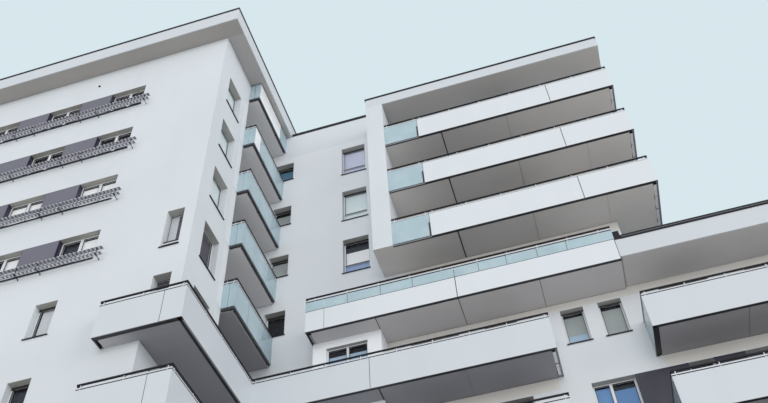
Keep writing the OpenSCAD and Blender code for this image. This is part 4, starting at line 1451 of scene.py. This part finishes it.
    def _joints(self) -> None:
        """Back the joints of the panels with dark strips and lay thin joints on the long panes."""
        runs, terrace, blocks = self.runs, self.runs.terrace[0], []
        for run, at, wide in ((runs.upper[1], 5.28, 0.024), (runs.corner[0], 2.01, 0.014),
                              (runs.corner[3], 3.822, 0.014), (runs.wing[0], 4.40, 0.014),
                              (terrace, 0.65, 0.006), (terrace, 5.09, 0.026), (terrace, 10.228, 0.014)):
            top = self.upstand if run is terrace else runs.PANEL_TOP
            blocks += run.bands(self.plan, (at - wide / 2, at + wide / 2), (-self.proud, 0.004),
                                (run.foot, top))
        for at in (1.46, 2.60, 3.69, 5.90, 6.82, 7.82, 8.77):
            blocks += terrace.bands(self.plan, (at - self.pane_joint / 2, at + self.pane_joint / 2),
                                    (-2 * self.proud, 0.0), (self.upstand + 0.016, runs.PANEL_TOP))
        keep_blocks("panel_joints", blocks, self.palette[SEAL_AND_SHADE_BLACK], "dark_metal")

    def _clamps(self) -> None:
        """Set the small clamps that carry the rails over the panels and panes."""
        top = self.runs.PANEL_TOP
        places = [Place(run.spot(self.plan, along, 0.0, level + top), run.turn)
                  for run in self.runs.all for level in run.levels if level != self.runs.top_level
                  for along in run.stands]
        n = NodeShape("rail_clamps")
        gap = n.number("Gap", self.runs.RAIL_FOOT - top - 0.002)
        wide = n.number("Width", self.clamp)
        web = n.bar((wide, 0.010, gap), (0.0, 0.014, gap / 2))
        cap = n.bar((wide * 1.6, 0.040, 0.006), (0.0, 0.028, gap - 0.003))
        jaw = n.bar((wide * 1.3, 0.026, 0.034), (0.0, 0.006, -0.006))
        bolt = n.bar((0.010, 0.005, 0.010), (0.0, -0.0095, -0.010))
        shape = n.painted([web, cap, jaw, bolt], "Clamp finish", self.palette[CLAMP_METAL])
        keep(n.run(places, shape), "blade")


@dataclass(frozen=True)
class Soffit:
    """The underside of a slab, with the joints that run across it.

    The rectangle is measured from the tower's corner. Joints are places along X, each with its
    width. The edges with a shadow gap are named by letters, b for the back and l for the left.
    """

    x: Span
    y: Span
    level: float
    joints: tuple[Span, ...] = ()
    edges: str = ""


@dataclass(frozen=True)
class SoffitSeams:
    """Dark joints of the soffits and the shadow gaps where they meet the walls."""

    plan: Plan
    palette: Palette
    runs: BalconyRuns
    thick: float = 0.006
    line: float = 0.006
    slab: float = 0.17

    def build(self) -> None:
        """Build the seams of every soffit."""
        blocks = [block for soffit in self._soffits() for block in self._lines(soffit)]
        keep_blocks("soffit_seams", blocks, self.palette[SEAL_AND_SHADE_BLACK], "dark_metal")

    def _soffits(self) -> list[Soffit]:
        """List the soffits with their joints.

        Returns:
            The soffits of all levels.
        """
        plan, found = self.plan, []
        top, roof = plan.floor(plan.storeys - 1), plan.floor(plan.upper)
        canopy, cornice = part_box("canopy_slab")[0].z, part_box("tower_cornice")[0].z
        deep = (plan.balcony_front + 0.092, plan.recess)
        for floor in plan.floors(plan.upper + 1, plan.storeys):
            end = ((12.77, 0.003),) if floor < top else ()
            found.append(Soffit((5.37, 12.95), deep, floor - self.slab,
                                ((7.66, 0.045), (10.27, 0.008), *end), "b"))
        for floor in plan.floors(1, plan.upper):
            level = floor - self.slab
            found += [Soffit((0.51, 9.74), deep, level, ((4.585, 0.040), (7.21, 0.004)), "b"),
                      Soffit((-0.96, 0.408), (0.0, plan.recess), level, (), "lb"),
                      Soffit((12.79, 18.43), deep, level, ((15.27, 0.005),), "b")]
        found += [Soffit((2.40, 12.47), deep, roof - 0.30,
                         ((4.585, 0.024), (7.32, 0.020), (9.92, 0.014)), "b"),
                  Soffit((12.47, 20.40), (plan.balcony_front, plan.recess), roof - 0.23,
                         ((12.49, 0.014),), "b")]
        found += [Soffit((-plan.loggia_wall, 0.388), (plan.loggia_near + 0.077, plan.recess),
                         level - self.slab, (), "lb") for level in self.runs.loggia[0].levels]
        return found + [
            Soffit((5.37, 12.95), (plan.balcony_front, plan.recess), canopy, (), "lb"),
            Soffit((plan.left - plan.corner.x, 0.0), (-0.02, 0.0), cornice, (), "b"),
            Soffit((0.0, plan.side_start), (0.0, plan.loggia_near), cornice, (), "l")]

    def _lines(self, soffit: Soffit) -> list[Block]:
        """Give the strips of one soffit.

        Args:
            soffit: The soffit.

        Returns:
            The strips as boxes in the frame.
        """
        up = (soffit.level - self.thick, soffit.level)
        (left, near), (right, far) = (self.plan.at(x, y) for x, y in zip(soffit.x, soffit.y))
        zero = self.plan.corner.x
        strips = [Block((zero + x - width / 2, zero + x + width / 2), (near, far), up)
                  for x, width in soffit.joints]
        if "b" in soffit.edges:
            strips.append(Block((left, right), (far - self.line, far), up))
        if "l" in soffit.edges:
            strips.append(Block((left, left + self.line), (near, far), up))
        return strips


@dataclass(frozen=True)
class SoffitSheets:
    """Painted sheets under the cornice, the canopy, the pier and the eaves, and warm bands of painted bounce
    light on the walls below.
    """

    plan: Plan
    palette: Palette
    thick: float = 0.006
    rim: float = 0.03
    slab: float = 0.17
    band_gap: Span = (0.030, 0.008)
    band_thick: float = 0.004
    edge: float = 0.22
    edge_thick: float = 0.0015

    def build(self) -> None:
        """Build the sheets and the bands."""
        p, rim = self.plan, self.rim
        low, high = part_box("tower_cornice")
        inner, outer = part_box("tower_parapet")
        across, deep = (low.x + rim, high.x - rim), (low.y + rim, high.y - rim)
        self._sheet("cornice_soffit", CORNICE_SOFFIT, low.z, (
            (across, (deep[0], inner.y)), (across, (outer.y, deep[1])),
            ((across[0], inner.x), (inner.y, outer.y))))
        (left, near), (x, far) = p.at(-p.loggia_wall, p.loggia_near), p.at(0.0, p.recess)
        self._sheet("cornice_side_soffit", CANOPY_SOFFIT, low.z, (
            ((outer.x, across[1]), (inner.y, outer.y)), ((left, x), (near, far))))
        # Painted shade: the lowest loggia soffit takes the darker lower soffit paint.
        self._sheet("lowest_loggia_soffit", LOWER_SOFFIT_SHADED, p.floor(p.upper) - self.slab, (
            ((x - 1.29, x + 0.38), (near + 0.09, far - 0.01)),))
        low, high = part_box("canopy_slab")
        inner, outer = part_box("balcony_pier")
        self._sheet("canopy_soffit", CANOPY_SOFFIT, low.z, (
            ((outer.x, high.x - rim), (low.y + rim, p.main_y)),
            ((p.main_right, high.x - rim), (p.main_y, high.y - rim))))
        self._sheet("pier_soffit", UPPER_SOFFIT, inner.z, (((inner.x, outer.x), (inner.y, outer.y)),))
        low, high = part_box("wing_eaves")
        self._sheet("eaves_soffit", TERRACE_SOFFIT, low.z, (
            ((low.x + 0.005, high.x - rim), (low.y + rim, p.main_y)),))
        self._heads()
        self._edges()

    def _heads(self) -> None:
        """Paint warm bounce light as bands on the main front wall between the window heads and the soffits.
        """
        p, slab, under_roof = self.plan, self.slab, (self.plan.floor(6),)
        fields = [(span, p.floors(0, 6), slab) for span in ((0.42, 2.26), (4.61, 9.73), (12.80, 18.42))]
        fields += [((5.38, 12.94), p.floors(p.upper, p.storeys - 1), slab),
                   ((4.61, 12.46), under_roof, 0.30), ((12.48, 20.38), under_roof, 0.23)]
        over, under = self.band_gap
        blocks = [Block((p.corner.x + low, p.corner.x + high), (p.main_y - self.band_thick, p.main_y),
                        (floor + p.head + over, floor + p.storey - drop - under))
                  for (low, high), floors, drop in fields for floor in floors]
        keep_blocks("wall_heads", blocks, self.palette[HEAD_BOUNCE_CREAM], "render")

    def _edges(self) -> None:
        """Cover the edges of the floors on the main front wall with the wall's own finish, the render
        lightened as painted light.
        """
        p, blocks = self.plan, []
        for level in range(1, p.storeys):
            low, high = (-1.29, 12.94) if level >= p.upper else (-0.95, 20.38)
            blocks.append(Block((p.corner.x + low, p.corner.x + high), (p.main_y - self.edge_thick, p.main_y),
                                (p.floor(level) - self.edge, p.floor(level))))
        keep_blocks("slab_edge_bands", blocks, self.palette[RECESS_LIT_WHITE], "render")

    def _sheet(self, name: str, finish: object, level: float, parts: Sequence[tuple[Span, Span]]) -> None:
        """Build one sheet of rectangles, given as extents along X and Y, under a surface at a level."""
        blocks = [Block(x, y, (level - self.thick, level)) for x, y in parts]
        keep_blocks(name, blocks, self.palette[finish], "soffit")


# Guards, reveals, sills and small parts

@dataclass(frozen=True)
class WindowGuards:
    """Slatted blades on arms in front of each ribbon of windows."""

    plan: Plan
    palette: Palette
    low: float = 0.82
    step: float = 0.24
    gap: float = 0.15
    depth: float = 0.15
    thick: float = 0.03
    edge: float = 0.016
    slat: float = 0.070
    slat_thick: float = 0.008
    pitch: float = 0.140
    arm: float = 0.012
    arm_high: float = 0.028
    plate: float = 0.008
    plate_high: float = 0.075
    plate_at: float = -0.028
    screw: float = 0.010
    screw_out: float = 0.006
    arms_at: Span = (0.27, -1.77)

    def build(self) -> None:
        """Build the blades and the arms."""
        plan, corner, (low, high) = self.plan, self.plan.corner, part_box("window_guards")
        y = corner.y - self.gap - self.depth / 2
        floors = plan.floors(plan.upper, plan.storeys)
        for name, lift, backing in (("lower", 0.0, LOUVRE_GREY), ("upper", self.step, LOUVRE_DARK)):
            places = [Place(Vector(((low.x + high.x) / 2, y, floor + self.low + lift)))
                      for floor in floors]
            keep(self._blades(f"{name}_guard_blades", high.x - low.x, places, backing,
                              name == "lower"), "blade", "window_guards")
        arms = [Place(Vector((corner.x - plan.ribbon_end - plan.ribbon_pitch * index + at, corner.y,
                              floor + self.low)))
                for floor in floors for index in range(3) for at in self.arms_at]
        keep(self._arms(arms), "dark_metal", "window_guards")

    def _blades(self, name: str, length: float, places: Sequence[Place], backing: object,
                edged: bool) -> bpy.types.Object:
        """Build the blades of one row: pale slats on bars under a darker louvre sheet.

        Args:
            name: Name of the piece.
            length: Length of a blade.
            places: Where the blades lie.
            backing: Finish of the louvre sheet.
            edged: Whether an edge bar runs along the street side too.

        Returns:
            The piece.
        """
        n = NodeShape(name)
        long = n.number("Length", length)
        depth, thick = n.number("Depth", self.depth), n.number("Thickness", self.thick)
        edge, slat = n.number("Edge", self.edge), n.number("Slat", self.slat)
        bars = [n.bar((long, edge, thick), (0.0, (depth - edge) / 2 * side, thick / 2))
                for side in ((-1.0, 1.0) if edged else (1.0,))]
        bars += [n.bar((edge, depth - edge * 2.0, thick), ((long - edge) / 2 * side, 0.0, thick / 2))
                 for side in (-1.0, 1.0)]
        count = int((length - 2 * self.edge) / self.pitch)
        start = n.number("First slat", -(count - 1) / 2 * self.pitch)
        flat = n.number("Slat thickness", self.slat_thick)
        strip = n.bar((slat, depth - edge, thick - flat), (0.0, edge * -0.5, (thick - flat) / 2))
        bars.append(n.row(strip, count, start, n.number("Pitch", self.pitch)))
        sheet = n.bar((long - edge * 2.0, depth - edge * 2.0, flat / 2), (0.0, 0.0, thick - flat))
        return n.run(places, n.painted(bars, "Slat finish", self.palette[BLADE_SLAT]),
                     n.painted([sheet], "Louvre finish", self.palette[backing]))

    def _arms(self, places: Sequence[Place]) -> bpy.types.Object:
        """Build the arms with their small wall plates.

        Args:
            places: Where the arms meet the wall, at the foot of the lower blade.

        Returns:
            The piece.
        """
        n = NodeShape("guard_arms")
        arm, high = n.number("Arm", self.arm), n.number("Arm height", self.arm_high)
        reach = n.number("Reach", self.gap + self.depth)
        middle = n.number("Blade middle", self.gap + self.depth / 2)
        step = n.number("Step", self.step)
        parts = [n.bar((arm, reach, high), (0.0, reach * -0.5, high * -0.5)),
                 n.bar((arm, high, step), (0.0, middle * -1.0, step / 2)),
                 n.bar((arm, high, 0.02), (0.0, middle * -1.0, step + self.thick)),
                 n.bar((arm * 2.0, self.plate, self.plate_high),
                       (0.0, -self.plate / 2, self.plate_at))]
        parts += [n.bar((self.screw, self.screw_out, self.screw),
                        (0.0, -self.plate - self.screw_out / 2, self.plate_at + at))
                  for at in (-0.024, 0.024)]
        return n.run(places, n.painted(parts, "Arm finish", self.palette[DARK_METAL]))


@dataclass(frozen=True)
class Reveals:
    """Dark boards beside the ribbons' infill, reveal heads with painted shade, and the sills' turned-down
    lips.
    """

    facade: Facade
    palette: Palette
    thick: float = 0.006
    liner: float = 0.008
    liner_deep: float = 0.20
    lip: float = 0.014
    ribbon_lip: float = 0.034
    lip_thick: float = 0.003
    sill_out: float = 0.040
    ear: float = 0.040

    def build(self) -> None:
        """Build the boards, the heads and the lips."""
        self._liners()
        self._heads()
        self._lips()

    def _liners(self) -> None:
        """Build the boards on both sides of each infill panel."""
        plan, corner, blocks = self.facade.plan, self.facade.plan.corner, []
        low = Unit.RIBBON.value.foot + Facade.SILL
        for floor in plan.floors(plan.upper, plan.storeys):
            for index in range(2):
                right = corner.x - plan.ribbon_end - plan.ribbon_window - plan.ribbon_pitch * index
                left = right - plan.infill
                blocks += [Block(x, (corner.y, corner.y + self.liner_deep), (floor + low, floor + plan.head))
                           for x in ((right, right + self.liner), (left - self.liner, left))]
        keep_blocks("ribbon_liners", blocks, self.palette[LINER_DARK], "infill")

    def _beside(self, places: Iterable[Place], along: Span, deep: Span, up: Span) -> list[Block]:
        """Give a box at each opening, from its middle along the wall, into it and up from its foot."""
        return [Block.between(*(place.spot + turned(place.turn) @ Vector(corner)
                                for corner in zip(along, deep, up))) for place in places]

    def _heads(self) -> None:
        """Lay a thin olive sheet of painted shade under the head of every opening."""
        blocks = []
        for unit, places in self.facade.places.items():
            half, top = unit.value.width / 2, self.facade.height(unit.value)
            blocks += self._beside(places, (-half, half), (0.001, unit.value.deep), (top - self.thick, top))
        keep_blocks("reveal_heads", blocks, self.palette[REVEAL_SHADE_OLIVE], "render")

    def _lips(self) -> None:
        """Turn the front of every sill down, and run the sill on under the ribbons' infill."""
        plan, blocks = self.facade.plan, []
        face = (-self.sill_out - self.lip_thick, -self.sill_out + 0.001)
        for unit, places in self.facade.places.items():
            half = unit.value.width / 2 + self.ear
            low = -Facade.SILL - (self.ribbon_lip if unit is Unit.RIBBON else self.lip)
            blocks += self._beside(places if unit.value.foot else (), (-half, half), face, (low, 0.0))
        last = plan.corner.x - plan.ribbon_end - plan.ribbon_pitch * 2
        beside = [place for place in self.facade.places[Unit.RIBBON] if place.spot.x > last]
        infill = (-plan.ribbon_window / 2 - plan.infill, -plan.ribbon_window / 2)
        blocks += self._beside(beside, infill, (-self.sill_out, 0.0), (-Facade.SILL, 0.0))
        blocks += self._beside(beside, infill, face, (-Facade.SILL - self.ribbon_lip, 0.0))
        keep_blocks("sill_lips", blocks, self.palette[DARK_METAL], "dark_metal")


@dataclass(frozen=True)
class SmallParts:
    """The vent of the tower's front, the pale line of the eaves coping and the entrance's handles."""

    plan: Plan
    palette: Palette
    vent: float = 0.046
    vent_deep: float = 0.040
    louvre: Colour = (0.060, 0.012, 0.005)
    handle: float = 0.014
    handle_out: Span = (0.047, 0.075)
    handle_up: Span = (0.75, 1.55)

    def build(self) -> None:
        """Build the small parts."""
        self._vent()
        self._coping_line()
        self._handles()

    def _vent(self) -> None:
        """Build the round vent with its rim and louvres."""
        shape = bmesh.new()
        spot = Matrix.Translation(Vector((*self.plan.at(-5.66, -self.vent_deep / 2), 32.44)))
        bmesh.ops.create_cone(shape, cap_ends=True, segments=32, radius1=self.vent, radius2=self.vent - 0.006,
                              depth=self.vent_deep, matrix=spot @ Matrix.Rotation(math.radians(90.0), 4, "X"))
        for step in (-0.02, 0.0, 0.02):
            made = bmesh.ops.create_cube(shape, size=1.0)["verts"]
            place = spot @ Matrix.Translation((0.0, -0.024, step))
            bmesh.ops.transform(shape, verts=made, matrix=place @ Matrix.Diagonal((*self.louvre, 1.0)))
        keep(add_object("front_vent", to_mesh("front_vent", shape), self.palette[DARK_METAL]), "dark_metal")

    def _coping_line(self) -> None:
        """Lay the pale line along the face of the wing's deep coping."""
        low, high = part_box("wing_eaves")
        y = low.y - 0.03
        line = Block((low.x + 0.21, high.x + 0.02), (y - 0.003, y + 0.01), (high.z + 0.06, high.z + 0.074))
        keep_blocks("coping_line", [line], self.palette[TRIM_METAL], "blade")

    def _handles(self) -> None:
        """Build the upright handles of the entrance door on their stand-offs."""
        low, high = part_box("entrance_door")
        (near, out), (foot, top), face, blocks = self.handle_out, self.handle_up, low.y, []
        for side in (-0.09, 0.09):
            x, half = (low.x + high.x) / 2 + side, self.handle
            blocks.append(Block((x - half, x + half), (face - out, face - near), (low.z + foot, low.z + top)))
            for level in (low.z + foot + 0.1, low.z + top - 0.1):
                blocks.append(Block((x - 0.01, x + 0.01), (face - near, face), (level - 0.01, level + 0.01)))
        keep_blocks("door_handles", blocks, self.palette[CLAMP_METAL], "blade", bevel=0.004)


# Roofs and floors

@dataclass(frozen=True)
class RoofCovering:
    """Strips of roofing with lapped seams inside the parapets."""

    plan: Plan
    palette: Palette
    strip: float = 1.0
    thick: float = 0.012
    deck: float = 0.22
    rim: float = 0.27
    gap: float = 0.02
    lap: float = 0.08

    def build(self) -> None:
        """Cover the tower, the main block and the wing."""
        p, rim, gap, places = self.plan, self.rim, self.gap, []
        top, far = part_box("roof_slabs")[1].z, p.back_y - rim
        low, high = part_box("tower_cornice")
        fields = [((low.x + rim, high.x - rim), (low.y + rim, high.y - rim), low.z + self.deck),
                  ((p.corner.x + gap, p.main_right - rim), (p.main_y + rim, far), top),
                  ((p.main_right + gap, p.wing_right - rim), (p.main_y + gap, far), p.floor(p.upper))]
        for x, y, level in fields:
            count = max(1, round((x[1] - x[0]) / self.strip))
            wide = (x[1] - x[0]) / count
            places += [Place(Vector((x[0] + wide * (index + 0.5), (y[0] + y[1]) / 2, level)), 0,
                             Vector((wide, y[1] - y[0], 1.0))) for index in range(count)]
        n = NodeShape("roof_covering")
        thick = n.number("Thickness", self.thick)
        parts = [n.bar((1.0, 1.0, thick), (0.0, 0.0, thick / 2)),
                 n.bar((self.lap, 1.0, thick), ((1.0 - self.lap) / 2, 0.0, thick * 1.3))]
        keep(n.run(places, n.painted(parts, "Roofing", self.palette[ROOF_COVER])), "concrete")


@dataclass(frozen=True)
class BalconyFloors:
    """Square tiles on the balconies and the terrace."""

    plan: Plan
    palette: Palette
    tile: float = 0.5
    joint: float = 0.006
    thick: float = 0.012

    def build(self) -> None:
        """Lay the tiles on every floor."""
        p, places, front = self.plan, [], (4.28, 5.59)
        above, lower = p.floors(p.upper + 1, p.storeys), p.floors(1, p.upper)
        fields = [((5.38, 14.28), front, above), ((12.96, 14.28), (5.60, 8.99), above),
                  ((2.41, 12.46), front, (p.floor(p.upper),)), ((4.61, 9.73), front, lower),
                  ((0.42, 2.26), front, lower), ((-0.95, 0.40), (2.51, front[1]), lower),
                  ((12.80, 18.42), front, lower),
                  ((-1.29, -0.01), (2.58, front[1]), p.floors(p.upper, p.storeys))]
        for x, y, levels in fields:
            across, along = (max(1, round((high - low) / self.tile)) for low, high in (x, y))
            wide, deep = (x[1] - x[0]) / across, (y[1] - y[0]) / along
            size = Vector((wide - self.joint, deep - self.joint, 1.0))
            for column in range(across):
                for line in range(along):
                    spot = p.at(x[0] + wide * (column + 0.5), y[0] + deep * (line + 0.5))
                    places += [Place(Vector((*spot, level)), 0, size) for level in levels]
        n = NodeShape("balcony_tiles")
        thick = n.number("Thickness", self.thick)
        tile = n.bar((1.0, 1.0, thick), (0.0, 0.0, thick / 2))
        keep(n.run(places, n.painted([tile], "Tile finish", self.palette[FLOOR_TILE])), "concrete")


# Light, floor and camera

@dataclass(frozen=True)
class StreetCamera:
    """The camera of the photograph: low in the street, looking steeply up."""

    spot: Vector = Vector((6.897, -23.787, 2.05))
    turn: Colour = (139.7042, 2.6233, 16.4975)
    lens: float = 39.405

    def build(self) -> None:
        """Make the camera and use it for the scene."""
        data = bpy.data.cameras.new("street_camera")
        data.lens = self.lens
        data.sensor_width = 36.0
        data.clip_end = 500.0
        camera = bpy.data.objects.new("street_camera", data)
        camera.location = self.spot
        camera.rotation_euler = [math.radians(angle) for angle in self.turn]
        bpy.context.scene.collection.objects.link(camera)
        bpy.context.scene.camera = camera


@dataclass(frozen=True)
class Studio:
    """Pale floor, even sky light and two broad soft lamps."""

    palette: Palette
    sky: Colour = (0.68, 0.80, 0.845)
    light: Colour = (0.93, 0.965, 1.0)
    strength: float = 0.74
    floor: Colour = (0.85, 0.82, 0.775)
    reach: float = 260.0

    def build(self) -> None:
        """Make the world, the lamps and the floor."""
        self._world()
        self._lamp("street_lamp", 0.85, (-0.12, 0.98, -0.17))
        self._lamp("side_lamp", 1.00, (-0.92, 0.36, -0.17))
        self._floor()
        scene = bpy.context.scene
        scene.view_settings.view_transform = "Standard"

    def _world(self) -> None:
        """Light everything evenly and show a plain pale sky to the camera and in gloss."""
        world = bpy.data.worlds.new("pale_sky")
        world.use_nodes = True
        bpy.context.scene.world = world
        s = Sketch(world.node_tree)
        shown = world.node_tree.nodes["Background"]
        shown.inputs["Color"].default_value = (*self.sky, 1.0)
        lit = s.add("ShaderNodeBackground")
        lit.inputs["Color"].default_value = (*self.light, 1.0)
        lit.inputs["Strength"].default_value = self.strength
        path = s.add("ShaderNodeLightPath")
        seen = Number(s, path.outputs["Is Camera Ray"])
        seen = seen.at_least(path.outputs["Is Glossy Ray"]).at_least(path.outputs["Is Transmission Ray"])
        mix = s.add("ShaderNodeMixShader")
        s.wire(seen, mix.inputs["Fac"])
        s.wire(lit.outputs[0], mix.inputs[1])
        s.wire(shown.outputs[0], mix.inputs[2])
        s.wire(mix.outputs[0], world.node_tree.nodes["World Output"].inputs["Surface"])

    def _lamp(self, name: str, energy: float, toward: Colour) -> None:
        """Add a broad soft lamp.

        Args:
            name: Name of the lamp.
            energy: Its strength.
            toward: Direction in which it shines.
        """
        data = bpy.data.lights.new(name, "SUN")
        data.energy = energy
        data.angle = math.radians(35.0)
        data.color = (1.0, 0.985, 0.96)
        lamp = bpy.data.objects.new(name, data)
        lamp.rotation_euler = Vector(toward).to_track_quat("-Z", "Y").to_euler()
        bpy.context.scene.collection.objects.link(lamp)

    def _floor(self) -> None:
        """Lay the plain pale floor."""
        s = Surface("pale_floor")
        s.finish(self.floor, 0.9)
        shape = bmesh.new()
        bmesh.ops.create_grid(shape, x_segments=2, y_segments=2, size=self.reach)
        floor = add_object("floor", to_mesh("floor", shape), s.material)


@dataclass(frozen=True)
class FrameFinishes:
    """Gives every CAD node its finish."""

    palette: Palette

    FINISHES = {
        RENDER_WHITE: ("floor_slabs", "roof_slabs", "tower_front_wall", "tower_left_wall", "tower_side_wall",
                       "main_right_wall", "wing_end_wall", "back_wall", "tower_parapet", "main_parapet",
                       "wing_parapet", "balcony_pier"),
        RECESS_LIT_WHITE: ("loggia_walls", "main_front_wall"),
        BAY_LIT_WHITE: ("bay_walls",),
        FASCIA_WHITE: ("tower_cornice", "canopy_slab", "wing_eaves"),
        UPPER_SOFFIT: ("upper_balcony_slabs",),
        CORNER_SOFFIT: ("corner_balcony_slabs",),
        LOWER_SOFFIT_SHADED: ("wing_balcony_slabs",),
        LOGGIA_SOFFIT_LIT: ("glass_balcony_slabs",),
        TERRACE_SOFFIT: ("terrace_slab",),
        PANEL_WHITE: ("upper_balcony_panels", "terrace_panels"),
        LOWER_PANEL: ("corner_balcony_panels", "wing_balcony_panels"),
        BALCONY_GLASS: ("upper_balcony_glass", "terrace_glass", "wing_balcony_glass", "glass_balcony_panes"),
        DARK_METAL: ("roof_copings", "terrace_end_box", "window_sills", "entrance_door"),
        RAIL_METAL: ("upper_balcony_railings", "terrace_railing", "corner_balcony_railings",
                     "wing_balcony_railings", "balcony_brackets"),
        SLIM_METAL: ("glass_balcony_railings",),
        INFILL_MAUVE: ("infill_panels",),
        BLADE_SLAT: ("window_guards",),
        CONCRETE: ("ground_slab",),
        WINDOW_GLASS: ("window_glazing",),
    }

    def build(self) -> None:
        """Put the finishes on the nodes' material slots."""
        for finish, nodes in self.FINISHES.items():
            for name in nodes:
                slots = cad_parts[name].data.materials
                slots.clear()
                slots.append(self.palette[finish])


def write_sizes() -> None:
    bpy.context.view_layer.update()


def main() -> None:
    """Build the camera, the studio, the finishes and the added pieces in order."""
    logging.basicConfig(level=logging.INFO, format="%(name)s: %(message)s")
    StreetCamera().build()
    palette = Palette()
    Studio(palette).build()
    plan = Plan.read()
    FrameFinishes(palette).build()
    facade = Facade(plan)
    WindowUnits(facade, palette).build()
    runs = BalconyRuns(plan)
    BalconyFittings(plan, palette, runs).build()
    SoffitSeams(plan, palette, runs).build()
    SoffitSheets(plan, palette).build()
    WindowGuards(plan, palette).build()
    Reveals(facade, palette).build()
    SmallParts(plan, palette).build()
    RoofCovering(plan, palette).build()
    BalconyFloors(plan, palette).build()
    write_sizes()


if __name__ == "__main__":
    main()
